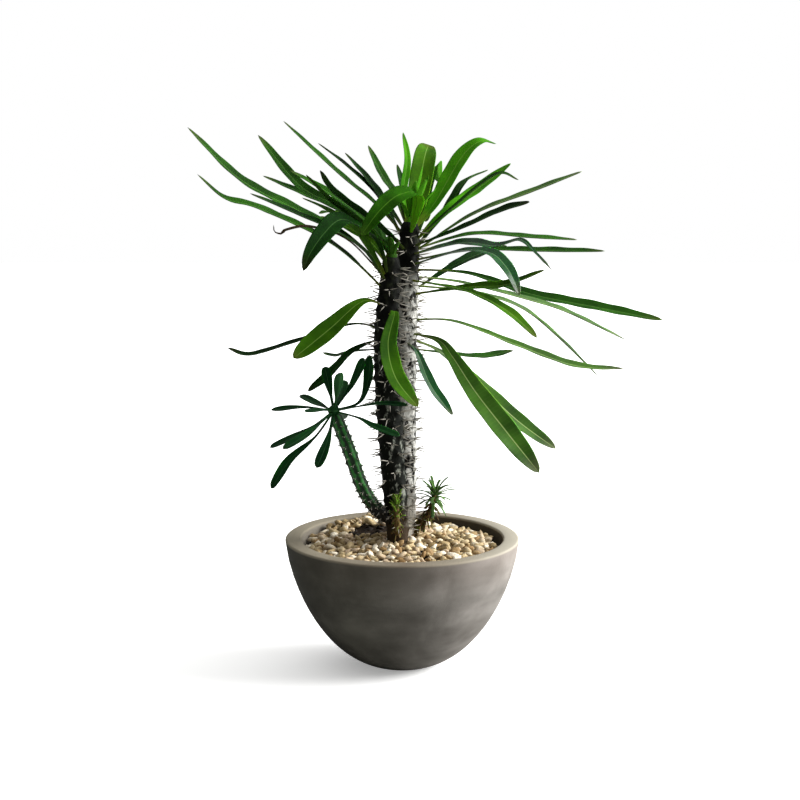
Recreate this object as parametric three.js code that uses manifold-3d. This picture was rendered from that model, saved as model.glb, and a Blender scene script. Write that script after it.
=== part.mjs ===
// Madagascar palm (Pachypodium lamerei) in a round cement bowl.
// Two spiny stems of different height stand side by side, each with its crown of long leaves.
// A young shoot and two small offsets grow from the foot of the stems, which stand in gravel.
// Millimetres, +Z up, origin in the middle of the flat base of the bowl. The front looks to -Y.

import * as THREE from 'three';
import { mergeVertices } from 'three/addons/utils/BufferGeometryUtils.js';
import Module from 'manifold-3d';

const wasm = await Module();
wasm.setup();

// ---------------------------------------------------------------- driving dimensions

const FIT_GAP = 0.3;              // air left between neighbouring pieces

const POT_HEIGHT = 178;
const POT_RADIUS = 160;           // outside, at the rim
const POT_WALL = 22;              // at the rim
const POT_BASE_RADIUS = 40;       // the flat that the bowl stands on
const POT_FLOOR = 20;             // thickness of the bottom
const POT_ROUNDNESS = 2.35;       // power of the bowl's outline, where 2 is an ellipse
const RIM_EDGE = 3;               // rounding of both edges of the rim
const POT_SIDES = 36;
const OUTSIDE_SHARES = [0.02, 0.07, 0.16, 0.3, 0.48, 0.68, 0.86];  // of the height, where the
const INSIDE_SHARES = [0.03, 0.1, 0.22, 0.38, 0.56, 0.76, 0.9];    // outline has its points
const OUTLINE_BELOW_BASE = 4.7;   // how far the outer outline would close below the flat base
const DRAIN_RADIUS = 6;
const DRAIN_RING = 24;            // the three drain holes stand on this radius

const SOIL_TOP = 146;
const GRAVEL_EDGE = 164;          // height of the gravel bed along the wall
const GRAVEL_MIDDLE = 175;
const GRAVEL_RING = 0.35;         // share of the bed's radius at which its mound has points
const GRAVEL_LIMIT = 190;         // no pebble stands higher
const HEAP = [-55, 95];           // the gravel is heaped up here, at the back left
const HEAP_HEIGHT = 12;
const HEAP_REACH = 60;
const PEBBLE_INSET = 7;           // of the outermost pebbles, from the wall
const PEBBLE_COUNT = 72;
const PEBBLE_HALF_LENGTHS = [12, 17];  // larger than life

const STEM_SIDES = 10;
const SPINE_RADIUS = 1;
const SPINE_SINK = 3;             // how deep the foot of a spine sits in its tubercle
const CLEARANCE = 2;              // from a spine or tubercle to a leaf
const CLEARANCE_STEPS = 80;       // points of a leaf or stem that the clearance is kept from
const TUBERCLE_RADIUS = 5.5;      // the low bump that three spines sit on
const TUBERCLE_HEIGHT = 3;
const LAST_AREOLE = 0.995;        // share of a stem's length at which its spines end
const THREE_SPINES = [[-0.6, 0.3], [0.6, 0.3], [0, -0.35]];  // how each leans aside and upward
const DOME_RISES = [0.4, 0.75];   // heights, in radii, of the rings that round a stem's top

const BLADE_THICKNESS = 2;        // on the midrib
const BLADE_FOLD = 0.11;          // both edges lie this share of the width above the midrib
const PETIOLE_WIDTH = 4;
const NARROW = [1.3, 0.55];       // powers by which a blade widens from its foot and narrows to its
const FULL = [0.85, 0.6];         // tip: on a long stalk, gradually from the stem,
const BROAD = [0.4, 0.3];         // broad all along,
const WITHERED = [1, 1.6];        // early, to a long dried tip,
const SPOON = [2.2, 0.5];         // or as a spoon on a stalk half its length
const BLADE_STATIONS = [0, 0.1, 0.21, 0.34, 0.48, 0.62, 0.75, 0.86, 0.94];
const YOUNG_BLADE_STATIONS = [0, 0.35, 0.6, 0.78, 0.92];
const CROWN_CORE_RADIUS = 8;      // the bud that the leaves of the shoot grow out of
const HEART_BUD_LENGTH = 20;      // the bud in the growing tip of a full-grown stem
const HEART_BUD_RADIUS = 9;

const GOLDEN_ANGLE = Math.PI * (3 - Math.sqrt(5));
const UP = new THREE.Vector3(0, 0, 1);

// A stem runs through its points from the root up, with a radius at each point.
const tallStem = {
  name: 'tall',
  points: [[4, 17, 100], [3, 17, 180], [2, 18, 300], [2, 17, 420], [6, 16, 505], [10, 16, 598]],
  radii: [8, 15.5, 17, 17, 15.5, 12],
  areoles: 52,
  lowestAreole: 200,
  spineLength: 17,
};
const shortStem = {
  name: 'short',
  points: [[-6, -20, 100], [-6, -20, 180], [-14, -20, 300], [-20, -20, 390], [-21, -20, 465],
    [-15, -20, 555]],
  radii: [8, 14.5, 16.5, 16.5, 15.5, 11.5],
  areoles: 46,
  lowestAreole: 216,
  spineLength: 17,
};
const shootStem = {
  name: 'shoot',
  points: [[-10, -24, 204], [-28, -33, 218], [-42, -36, 234], [-56, -37, 261], [-72, -38, 308],
    [-87, -38, 348]],
  radii: [7, 8.5, 8.5, 8.5, 8.5, 8],
  areoles: 18,
  lowestAreole: 244,
  spineLength: 6,
};

// Each large leaf: its stem, the height of its foot, its greatest width, its form, how many degrees
// its top face leans to the front, and the points that its midrib runs through, out to the tip.
const LEAVES = [
  // tall crown, to the left and up
  [tallStem, 576, 24, FULL, 15, [-85, 70, 624], [-141, 100, 652], [-200, 120, 720]],
  [tallStem, 560, 22, FULL, 5, [-72, 80, 612], [-143, 130, 641], [-197, 160, 662]],
  [tallStem, 586, 20, FULL, -10, [-37, 60, 630], [-86, 100, 668], [-166, 140, 739]],
  [tallStem, 572, 18, FULL, -20, [-31, 90, 635], [-77, 150, 677], [-120, 190, 707]],
  [tallStem, 590, 20, FULL, -20, [-24, 70, 632], [-50, 135, 662], [-81, 170, 694]],
  [tallStem, 594, 18, FULL, -20, [-8, 60, 638], [-27, 130, 664], [-48, 180, 704]],
  [tallStem, 582, 12, FULL, -20, [8, 80, 620], [0, 150, 652], [-7, 210, 676]],
  [tallStem, 596, 12, FULL, -20, [2, 38, 645], [7, 48, 688], [1, 50, 725]],
  [tallStem, 568, 20, FULL, 5, [-32, -50, 608], [-85, -130, 655], [-102, -160, 683]],
  [tallStem, 556, 20, FULL, 15, [-56, 26, 615], [-104, 42, 648], [-152, 50, 674]],
  [tallStem, 588, 26, FULL, 30, [20, -42, 645], [-3, -90, 650], [-28, -130, 632], [-53, -158, 600]],
  // tall crown, upright
  [tallStem, 597, 32, BROAD, 22, [21, 58, 640], [31, 98, 690], [37, 142, 706]],
  [tallStem, 594, 26, FULL, 20, [44, 40, 632], [80, 80, 690], [106, 95, 712], [130, 105, 708]],
  [tallStem, 586, 22, FULL, -35, [30, 80, 624], [46, 150, 676], [54, 230, 650]],
  // tall crown, to the right
  [tallStem, 562, 22, FULL, -20, [60, 85, 618], [88, 140, 656], [123, 190, 669]],
  [tallStem, 577, 22, FULL, 15, [60, 40, 620], [107, 90, 650], [151, 120, 681]],
  [tallStem, 580, 14, FULL, 18, [72, 0, 632], [124, -10, 672], [154, -15, 664]],
  [tallStem, 566, 20, NARROW, 10, [94, 10, 618], [172, 30, 647], [243, 45, 673]],
  [tallStem, 574, 24, NARROW, 30, [77, -70, 606], [123, -120, 631], [159, -150, 643]],
  [tallStem, 570, 22, NARROW, 12, [96, 60, 588], [177, 100, 581], [246, 130, 574]],
  [tallStem, 556, 24, NARROW, 10, [93, -20, 573], [180, -50, 575], [263, -70, 575]],
  [tallStem, 564, 22, WITHERED, 20, [75, -60, 586], [118, -110, 586], [148, -132, 595], [167, -150, 580],
    [188, -165, 558]],
  [tallStem, 550, 22, NARROW, 12, [75, -55, 575], [113, -88, 575], [131, -107, 561], [142, -117, 543],
    [149, -123, 523]],
  [tallStem, 510, 22, NARROW, 25, [89, -50, 527], [132, -90, 534], [181, -120, 555]],
  [tallStem, 544, 26, NARROW, 20, [90, -18, 541], [168, -40, 517], [258, -62, 501], [339, -80, 486]],
  [tallStem, 534, 24, NARROW, 18, [80, 70, 521], [181, 130, 490], [240, 160, 468], [325, 190, 424]],
  [tallStem, 530, 22, NARROW, 0, [80, -100, 528], [125, -150, 512], [152, -175, 492], [167, -190, 477]],
  [tallStem, 522, 20, NARROW, 20, [92, 40, 511], [163, 80, 486], [220, 110, 440], [279, 130, 380]],
  [tallStem, 476, 24, NARROW, 10, [71, 0, 475], [157, -30, 446], [228, -50, 423], [292, -60, 419]],
  [tallStem, 458, 32, NARROW, 35, [48, -20, 452], [66, -45, 434], [96, -80, 392], [134, -108, 346],
    [177, -125, 293]],
  [tallStem, 450, 26, NARROW, 45, [54, 24, 429], [109, 32, 380], [159, 22, 335], [210, 12, 298]],
  [tallStem, 436, 20, NARROW, 15, [52, 60, 425], [111, 130, 409], [161, 190, 409]],
  [tallStem, 446, 24, NARROW, -20, [20, -30, 437], [37, -70, 401], [65, -100, 364]],
  // tall crown, to the back
  [tallStem, 564, 26, FULL, 0, [20, 100, 600], [30, 190, 615], [35, 260, 590]],
  [tallStem, 540, 26, FULL, 0, [-40, 100, 585], [-95, 170, 610], [-120, 220, 605]],
  [tallStem, 512, 24, NARROW, 10, [76, 90, 544], [117, 150, 556], [150, 205, 560]],
  // short crown, to the left and up
  [shortStem, 545, 26, FULL, 22, [-70, -38, 590], [-134, -45, 626], [-210, -55, 668], [-277, -60, 734]],
  [shortStem, 520, 24, FULL, 20, [-91, -50, 584], [-182, -90, 632], [-226, -102, 646],
    [-260, -110, 676]],
  [shortStem, 530, 22, FULL, 25, [-60, -90, 590], [-128, -150, 628], [-187, -190, 656]],
  [shortStem, 554, 22, FULL, 10, [-45, -48, 603], [-90, -96, 641], [-122, -120, 676]],
  [shortStem, 534, 25, FULL, 10, [-58, -66, 600], [-97, -112, 633], [-126, -140, 648]],
  [shortStem, 534, 8, NARROW, 15, [-70, -60, 589], [-118, -84, 608], [-148, -100, 605],
    [-154, -103, 600], [-163, -104, 603], [-164, -104, 612]],
  [shortStem, 538, 28, FULL, 32, [-34, -68, 591], [-61, -110, 615], [-79, -142, 621], [-97, -168, 606],
    [-114, -190, 582], [-122, -198, 561]],
  [shortStem, 550, 22, FULL, 10, [-40, 8, 579], [-74, 34, 599], [-112, 52, 612]],
  // short stem, lower leaves
  [shortStem, 500, 28, NARROW, 40, [-53, -50, 507], [-94, -85, 476], [-140, -115, 441]],
  [shortStem, 468, 18, NARROW, 15, [-70, 0, 471], [-152, 20, 443], [-208, 30, 426], [-239, 35, 434]],
  [shortStem, 455, 20, NARROW, 55, [-68, 10, 433], [-99, 40, 398], [-131, 60, 370]],
  [shortStem, 440, 16, NARROW, 5, [-72, 60, 426], [-95, 110, 413], [-113, 140, 413]],
  [shortStem, 486, 29, NARROW, -10, [-10, -66, 494], [-18, -95, 456], [-8, -120, 417], [20, -135, 381]],
];

// Young leaves round the growing tip of a stem: the way that each leans, counted from +X towards
// +Y, and how far it leans from the stem, in degrees, then its length and its width.
const TALL_HEART = [
  [350, 10, 80, 18], [20, 20, 70, 17], [320, 22, 66, 17], [300, 12, 60, 16], [0, 34, 60, 15],
  [200, 10, 50, 9], [170, 25, 38, 8], [225, 30, 34, 8],
];
const SHORT_HEART = [
  [186, 38, 62, 12], [150, 28, 50, 11], [170, 48, 44, 11], [262, 40, 40, 10], [300, 35, 30, 9],
  [110, 30, 34, 9],
];

// Leaves of the young shoot, with a width, a lean and points in the same way. They are one crown.
const SHOOT_LEAVES = [
  [13, 25, [-131, -20, 361], [-177, -10, 356]],
  [13, 15, [-106, -70, 366], [-127, -90, 367]],
  [15, 15, [-122, -60, 340], [-174, -80, 317]],
  [14, 15, [-120, -95, 342], [-154, -125, 324]],
  [18, 60, [-117, -30, 322], [-152, -15, 288], [-179, -5, 246]],
  [14, 15, [-98, -75, 327], [-112, -95, 293]],
  [14, 15, [-97, -20, 384], [-104, -10, 415]],
  [15, 15, [-85, -60, 391], [-82, -70, 416]],
  [17, 60, [-67, -50, 396], [-50, -55, 433]],
  [17, 60, [-58, -36, 370], [-46, -44, 400], [-43, -46, 435]],
  [16, 15, [-58, -62, 354], [-36, -72, 344], [-3, -80, 333]],
  [14, 15, [-49, -62, 371], [-23, -72, 375], [8, -76, 373]],
  [14, 15, [-84, 10, 373], [-79, 50, 387]],
  [14, 15, [-113, 30, 356], [-142, 70, 363]],
  [14, 15, [-80, 20, 345], [-88, 60, 330]],
];

// Offsets at the foot of the stems: a short stalk that carries narrow leaves all round, from a
// share of its length on. The rises say how steeply the lowest and the highest leaf point upward.
const SIDE_SPROUT = {
  points: [[8, 16, 186], [24, 10, 194], [38, 7, 212], [45, 5, 238]],
  radii: [5, 4.5, 4, 3.5],
  start: 0.88,
  rises: [-0.7, 1.6],
  needles: 22,
  needleLength: 30,
  needleRadius: 1.5,
};
const FRONT_SPROUT = {
  points: [[-6, -26, 188], [-7, -41, 200], [-8, -43, 236]],
  radii: [5, 4, 3.5],
  start: 0.66,
  rises: [0.6, 2.6],
  needles: 11,
  needleLength: 22,
  needleRadius: 1.8,
};

// ---------------------------------------------------------------- finishes

const FINISHES = {
  pot: { color: 0x57544c, roughness: 0.85, metalness: 0 },
  soil: { color: 0x3a2a1c, roughness: 1, metalness: 0 },
  gravel: { color: 0xd3c3a3, roughness: 0.7, metalness: 0 },
  tallBark: { color: 0x6b6a63, roughness: 0.8, metalness: 0 },
  shortBark: { color: 0x2c2b27, roughness: 0.8, metalness: 0 },
  shootBark: { color: 0x24521f, roughness: 0.6, metalness: 0 },
  leaf: { color: 0x2f6b1c, roughness: 0.35, metalness: 0 },
  youngLeaf: { color: 0x234f22, roughness: 0.4, metalness: 0 },
  offset: { color: 0x6d7d4f, roughness: 0.6, metalness: 0 },
};

// ---------------------------------------------------------------- solids and meshes

/** A closed geometry as a manifold solid. */
function solid(geometry) {
  const bare = new THREE.BufferGeometry();
  bare.setAttribute('position', geometry.getAttribute('position'));
  bare.setIndex(geometry.getIndex());
  const merged = mergeVertices(bare, 1e-4);
  return new wasm.Manifold(new wasm.Mesh({
    numProp: 3,
    vertProperties: new Float32Array(merged.getAttribute('position').array),
    triVerts: new Uint32Array(merged.getIndex().array),
  }));
}

/** A manifold solid as a geometry with one normal for each face. */
function geometryOf(body) {
  const { vertProperties, triVerts } = body.getMesh();
  const geometry = new THREE.BufferGeometry();
  geometry.setAttribute('position', new THREE.Float32BufferAttribute(vertProperties, 3));
  geometry.setIndex([...triVerts]);
  const faceted = geometry.toNonIndexed();
  faceted.computeVertexNormals();
  return faceted;
}

/** The largest of the bodies that a solid falls into: scraps that hang on nothing go. */
function whole(body) {
  return body.decompose().reduce((largest, next) => (
    next.volume() > largest.volume() ? next : largest));
}

/** Solids joined in one. */
function fuse(bodies) {
  return whole(bodies.reduce((joined, body) => joined.add(body)));
}

/** A named mesh in its finish. */
function piece(name, body, finish) {
  const mesh = new THREE.Mesh(geometryOf(body), new THREE.MeshStandardMaterial(FINISHES[finish]));
  mesh.name = name;
  return mesh;
}

/** Repeatable draws between two numbers. */
function seeded(seed) {
  let state = seed;
  return (low, high) => {
    state = (state + 0x6d2b79f5) | 0;
    let mixed = Math.imul(state ^ (state >>> 15), 1 | state);
    mixed = (mixed + Math.imul(mixed ^ (mixed >>> 7), 61 | mixed)) ^ mixed;
    return low + (high - low) * (((mixed ^ (mixed >>> 14)) >>> 0) / 4294967296);
  };
}

/** Closed skin over rings of as many points each; a ring of one point closes an end to a tip. */
function loft(rings) {
  const faces = [];
  let start = 0;
  for (let i = 1; i < rings.length; i += 1) {
    const next = start + rings[i - 1].length;
    const sides = rings[i - 1].length;
    for (let k = 0; k < sides; k += 1) {
      const [a, b] = [start + k, start + ((k + 1) % sides)];
      const [c, d] = [next + k, next + ((k + 1) % sides)];
      if (rings[i].length === 1) {
        faces.push(a, b, next);
      } else if (k % 2 === 0) {
        faces.push(a, b, d, a, d, c);
      } else {
        faces.push(a, b, c, b, d, c);
      }
    }
    start = next;
  }
  for (let k = 1; k < rings[0].length - 1; k += 1) {
    faces.push(0, k + 1, k);
  }
  const geometry = new THREE.BufferGeometry().setFromPoints(rings.flat());
  geometry.setIndex(faces);
  return solid(geometry);
}

/** A round solid from an outline of [radius, height] points that starts and ends on the axis. */
function turned(outline, sides) {
  const profile = outline.map(([radius, height]) => new THREE.Vector2(radius, height));
  return solid(new THREE.LatheGeometry(profile, sides).rotateX(Math.PI / 2));
}

const vector = (point) => new THREE.Vector3(...point);

// ---------------------------------------------------------------- bowl, soil and gravel

/** Radius of a bowl of a given width, at a height above the point where its outline closes. */
function bowlRadius(height, depth, radius) {
  return radius * (1 - (1 - height / depth) ** 1.5) ** (1 / POT_ROUNDNESS);
}

const INNER_RADIUS = POT_RADIUS - POT_WALL;

/** The inside of the bowl up to a height, and smaller all round by a gap. */
function fillOutline(top, gap) {
  const depth = POT_HEIGHT - POT_FLOOR;
  const inside = INSIDE_SHARES.map((share) => [
    bowlRadius(share * depth, depth, INNER_RADIUS) - gap, POT_FLOOR + share * depth + gap]);
  const rim = bowlRadius(top - POT_FLOOR, depth, INNER_RADIUS) - gap;
  return [[0, POT_FLOOR + gap], ...inside.filter(([, height]) => height < top - 1), [rim, top]];
}

function pot() {
  const outside = OUTSIDE_SHARES.map((share) => [
    bowlRadius(share * POT_HEIGHT + OUTLINE_BELOW_BASE, POT_HEIGHT + OUTLINE_BELOW_BASE, POT_RADIUS),
    share * POT_HEIGHT]);
  const rounded = RIM_EDGE * (1 - Math.SQRT1_2);
  const bowl = turned([
    [0, 0],
    [POT_BASE_RADIUS, 0],
    ...outside,
    [POT_RADIUS, POT_HEIGHT - RIM_EDGE],
    [POT_RADIUS - rounded, POT_HEIGHT - rounded],
    [POT_RADIUS - RIM_EDGE, POT_HEIGHT],
    [INNER_RADIUS + RIM_EDGE, POT_HEIGHT],
    [INNER_RADIUS + rounded, POT_HEIGHT - rounded],
    ...fillOutline(POT_HEIGHT - RIM_EDGE, 0).reverse(),
  ], POT_SIDES);
  const drain = new THREE.CylinderGeometry(DRAIN_RADIUS, DRAIN_RADIUS, 3 * POT_FLOOR, 12)
    .rotateX(Math.PI / 2)
    .translate(DRAIN_RING, 0, 0);
  return [0, 1, 2].reduce((body) => {
    drain.rotateZ(2 * Math.PI / 3);
    return body.subtract(solid(drain));
  }, bowl);
}

function soil() {
  return turned([...fillOutline(SOIL_TOP, FIT_GAP), [0, SOIL_TOP]], POT_SIDES);
}

/** A bed of gravel: a low mound with pebbles sunk in it, laid out in a sunflower spiral. */
function gravel() {
  const draw = seeded(7);
  const floor = SOIL_TOP + FIT_GAP;
  const wall = bowlRadius(SOIL_TOP - POT_FLOOR, POT_HEIGHT - POT_FLOOR, INNER_RADIUS);
  const edge = wall - 3 * FIT_GAP;
  const height = (x, y) => {
    const heap = Math.exp(-((x - HEAP[0]) ** 2 + (y - HEAP[1]) ** 2) / HEAP_REACH ** 2);
    const share = (x ** 2 + y ** 2) / wall ** 2;
    return GRAVEL_MIDDLE - (GRAVEL_MIDDLE - GRAVEL_EDGE) * share + HEAP_HEIGHT * heap;
  };
  const bed = turned([
    [0, floor], [edge, floor], [edge, GRAVEL_EDGE], [GRAVEL_RING * edge, GRAVEL_MIDDLE],
    [0, GRAVEL_MIDDLE]], POT_SIDES).warp((point) => {
    if (point[2] >= GRAVEL_EDGE) {
      point[2] = height(point[0], point[1]);
    }
  });
  const pebbles = Array.from({ length: PEBBLE_COUNT }, (_, i) => {
    const radius = (wall - PEBBLE_INSET) * Math.sqrt((i + 0.5) / PEBBLE_COUNT) + draw(-3, 3);
    const [x, y] = [radius * Math.cos(i * GOLDEN_ANGLE), radius * Math.sin(i * GOLDEN_ANGLE)];
    const long = draw(...PEBBLE_HALF_LENGTHS);
    const pebble = new THREE.OctahedronGeometry(1, 0)
      .rotateX(draw(0, Math.PI))
      .scale(long, long * draw(0.65, 0.9), long * draw(0.45, 0.62))
      .rotateX(draw(-0.3, 0.3))
      .rotateZ(draw(0, Math.PI))
      .translate(x, y, height(x, y) + draw(-1, 2));
    return solid(pebble);
  });
  const space = turned([
    ...fillOutline(POT_HEIGHT, FIT_GAP), [INNER_RADIUS - FIT_GAP, GRAVEL_LIMIT],
    [0, GRAVEL_LIMIT]], POT_SIDES);
  return fuse([bed, ...pebbles]).intersect(space);
}

// ---------------------------------------------------------------- stems and spines

/** A smooth curve through [x, y, z] points. */
function curveThrough(points) {
  return new THREE.CatmullRomCurve3(points.map(vector), false, 'catmullrom', 0.5);
}

/** Centre, radius and frame of a stem at a share of its length. */
function stemStation(stem, share) {
  const curve = curveThrough(stem.points);
  const last = stem.radii.length - 1;
  const index = Math.min(Math.floor(share * last), last - 1);
  const along = curve.getTangent(share);
  const across = new THREE.Vector3(0, 1, 0).addScaledVector(along, -along.y).normalize();
  return {
    centre: curve.getPoint(share),
    radius: THREE.MathUtils.lerp(stem.radii[index], stem.radii[index + 1], share * last - index),
    along,
    across,
    right: new THREE.Vector3().crossVectors(across, along),
  };
}

/** The share of a stem's length at which its axis reaches a height. */
function shareAtHeight(stem, height) {
  const steps = 400;
  const step = Array.from({ length: steps }, (_, i) => i)
    .find((i) => stemStation(stem, i / steps).centre.z >= height);
  return (step ?? steps) / steps;
}

/** A stem without its spines, thicker by a gap, with a round top. */
function bareStem(stem, gap) {
  const ring = ({ centre, radius, across, right }) => (
    Array.from({ length: STEM_SIDES }, (_, k) => {
      const angle = (2 * Math.PI * k) / STEM_SIDES;
      return centre.clone()
        .addScaledVector(right, Math.cos(angle) * radius)
        .addScaledVector(across, Math.sin(angle) * radius);
    }));
  const steps = 2 * (stem.points.length - 1);
  const shaft = Array.from({ length: steps + 1 }, (_, i) => {
    const station = stemStation(stem, i / steps);
    return ring({ ...station, radius: station.radius + gap });
  });
  const top = stemStation(stem, 1);
  const full = top.radius + gap;
  const dome = DOME_RISES.map((rise) => ring({
    ...top,
    centre: top.centre.clone().addScaledVector(top.along, rise * full),
    radius: full * Math.sqrt(1 - rise ** 2),
  }));
  return loft([...shaft, ...dome, [top.centre.clone().addScaledVector(top.along, full)]]);
}

/** A cone that points along a direction from its foot. */
function cone(foot, direction, length, radius, sides) {
  const turn = new THREE.Quaternion().setFromUnitVectors(
    new THREE.Vector3(0, 1, 0), direction.clone().normalize());
  return solid(new THREE.ConeGeometry(radius, length, sides)
    .translate(0, length / 2, 0)
    .applyQuaternion(turn)
    .translate(...foot));
}

/** Tubercles in a golden-angle spiral, each with three spines, wherever they have room. */
function armour(stem, hasRoom, seed) {
  const draw = seeded(seed);
  const bodies = [];
  const lowest = shareAtHeight(stem, stem.lowestAreole);
  for (let i = 0; i < stem.areoles; i += 1) {
    const share = lowest + (LAST_AREOLE - lowest) * ((i + 0.5) / stem.areoles);
    const { centre, radius, along, across, right } = stemStation(stem, share);
    const angle = i * GOLDEN_ANGLE + draw(-0.12, 0.12);
    const outward = right.clone().multiplyScalar(Math.cos(angle))
      .addScaledVector(across, Math.sin(angle));
    const sideways = new THREE.Vector3().crossVectors(along, outward);
    const foot = centre.clone().addScaledVector(outward, radius - SPINE_SINK);
    const skirt = [[0, 0], [1, 0], [-1, 0], [0, 1], [0, -1]].map(([aside, upward]) => (
      foot.clone().addScaledVector(outward, SPINE_SINK + 1)
        .addScaledVector(sideways, aside * TUBERCLE_RADIUS)
        .addScaledVector(along, upward * TUBERCLE_RADIUS)));
    if (skirt.every(hasRoom)) {
      bodies.push(cone(foot, outward.clone().addScaledVector(along, 0.2),
        TUBERCLE_HEIGHT + SPINE_SINK, TUBERCLE_RADIUS, 5));
    }
    THREE_SPINES.forEach(([aside, upward]) => {
      const direction = outward.clone()
        .addScaledVector(sideways, aside + draw(-0.12, 0.12))
        .addScaledVector(along, upward + draw(-0.15, 0.15))
        .normalize();
      const length = stem.spineLength * draw(0.75, 1.15) + SPINE_SINK + TUBERCLE_HEIGHT;
      const reach = [0.3, 0.5, 0.75, 1].map((part) => (
        foot.clone().addScaledVector(direction, part * length)));
      if (reach.every(hasRoom)) {
        bodies.push(cone(foot, direction, length, SPINE_RADIUS, 3));
      }
    });
  }
  return bodies;
}

// ---------------------------------------------------------------- leaves

/** Width of a blade at a share of its length: never less than its petiole. */
function bladeWidth(share, width, [swell, taper]) {
  const shape = (at) => (at ** swell) * ((1 - at) ** taper);
  return Math.max(PETIOLE_WIDTH, (width * shape(share)) / shape(swell / (swell + taper)));
}

/** A folded blade along a curve: four points to a ring, drawn to a point at the tip. */
function blade(points, width, form, lean, stations) {
  const curve = curveThrough(points);
  const [first, tip] = [curve.getPoint(0), curve.getPoint(1)];
  const heading = tip.clone().sub(first).setZ(0).normalize();
  const level = new THREE.Vector3().crossVectors(heading, UP);
  const turn = THREE.MathUtils.degToRad(level.y >= 0 ? lean : -lean);
  const rings = stations.map((share) => {
    const centre = curve.getPointAt(share);
    const along = curve.getTangentAt(share);
    const flat = level.clone().addScaledVector(along, -level.dot(along)).normalize();
    const upward = new THREE.Vector3().crossVectors(flat, along);
    const side = flat.clone().multiplyScalar(Math.cos(turn))
      .addScaledVector(upward, Math.sin(turn));
    const normal = new THREE.Vector3().crossVectors(side, along);
    const half = bladeWidth(share, width, form) / 2;
    const rise = half * BLADE_FOLD;
    const at = (aside, above) => centre.clone()
      .addScaledVector(side, aside)
      .addScaledVector(normal, above);
    return [at(0, BLADE_THICKNESS / 2 - rise), at(half, rise), at(0, -BLADE_THICKNESS / 2 - rise),
      at(-half, rise)];
  });
  return { body: loft([...rings, [tip]]), curve, width, form };
}

/** A large leaf that starts inside its stem, before the stem is cut out of it. */
function leafOn(stem, foot, width, form, lean, path) {
  const { centre, radius } = stemStation(stem, shareAtHeight(stem, foot));
  const outward = vector(path[0]).sub(centre).setZ(0).normalize();
  const start = centre.clone().addScaledVector(outward, 0.4 * radius);
  return blade([start.toArray(), ...path], width, form, lean, BLADE_STATIONS);
}

/** The blades of the shoot, from the middle of its bud outwards. */
function shootBlades() {
  const top = stemStation(shootStem, 1);
  const bud = top.centre.clone().addScaledVector(top.along, top.radius + CROWN_CORE_RADIUS / 2);
  const blades = SHOOT_LEAVES.map(([width, lean, ...path]) => (
    blade([bud.toArray(), ...path], width, SPOON, lean, YOUNG_BLADE_STATIONS)));
  return { bud, blades };
}

/** The growing tip of a stem: a bud and the young leaves round it. */
function heart(stem, rows) {
  const { centre, radius, along, across, right } = stemStation(stem, 1);
  const start = centre.clone().addScaledVector(along, radius / 2);
  const bud = cone(start, along, HEART_BUD_LENGTH, HEART_BUD_RADIUS, 7);
  const blades = rows.map(([azimuth, lean, length, width]) => {
    const [way, tilt] = [azimuth, lean].map(THREE.MathUtils.degToRad);
    const outward = right.clone().multiplyScalar(Math.cos(way))
      .addScaledVector(across, Math.sin(way));
    const at = (share) => start.clone()
      .addScaledVector(along, share * length * Math.cos(tilt * share))
      .addScaledVector(outward, share * length * Math.sin(tilt));
    return blade([start, at(0.5), at(1)].map((point) => point.toArray()), width, FULL, 0,
      YOUNG_BLADE_STATIONS);
  });
  return { body: fuse([bud, ...blades.map(({ body }) => body)]), blades };
}

/** A stalk with narrow leaves in a golden-angle spiral, long at the top and short below. */
function sprout(shape, seed) {
  const draw = seeded(seed);
  const bodies = [bareStem(shape, 0)];
  const reaches = [];
  for (let i = 0; i < shape.needles; i += 1) {
    const share = shape.start + ((1 - shape.start) * (i + 0.5)) / shape.needles;
    const { centre, along, across, right } = stemStation(shape, share);
    const angle = i * GOLDEN_ANGLE;
    const lift = THREE.MathUtils.lerp(...shape.rises, i / shape.needles) + draw(-0.15, 0.15);
    const direction = right.clone().multiplyScalar(Math.cos(angle))
      .addScaledVector(across, Math.sin(angle))
      .addScaledVector(along, lift)
      .normalize();
    const length = shape.needleLength * draw(0.75, 1.1);
    bodies.push(cone(centre, direction, length, shape.needleRadius, 3));
    const tip = centre.clone().addScaledVector(direction, length);
    reaches.push({ curve: curveThrough([centre.toArray(), tip.toArray()]), width: 1, form: FULL });
  }
  return { body: fuse(bodies), reaches };
}

/** Whether a point keeps off all the given blades and stems. */
function keepsOff(blades, stems) {
  const steps = Array.from({ length: CLEARANCE_STEPS + 1 }, (_, i) => i / CLEARANCE_STEPS);
  const spots = blades.flatMap(({ curve, width, form }) => (
    steps.map((share) => ({
      at: curve.getPointAt(share),
      reach: bladeWidth(share, width, form) / 2 + CLEARANCE,
    }))));
  const posts = stems.flatMap((stem) => (
    steps.map((share) => {
      const { centre, radius } = stemStation(stem, share);
      return { at: centre, reach: radius + TUBERCLE_HEIGHT + CLEARANCE };
    })));
  return (point) => [...spots, ...posts].every(({ at, reach }) => at.distanceTo(point) > reach);
}

// ---------------------------------------------------------------- assembly

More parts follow.
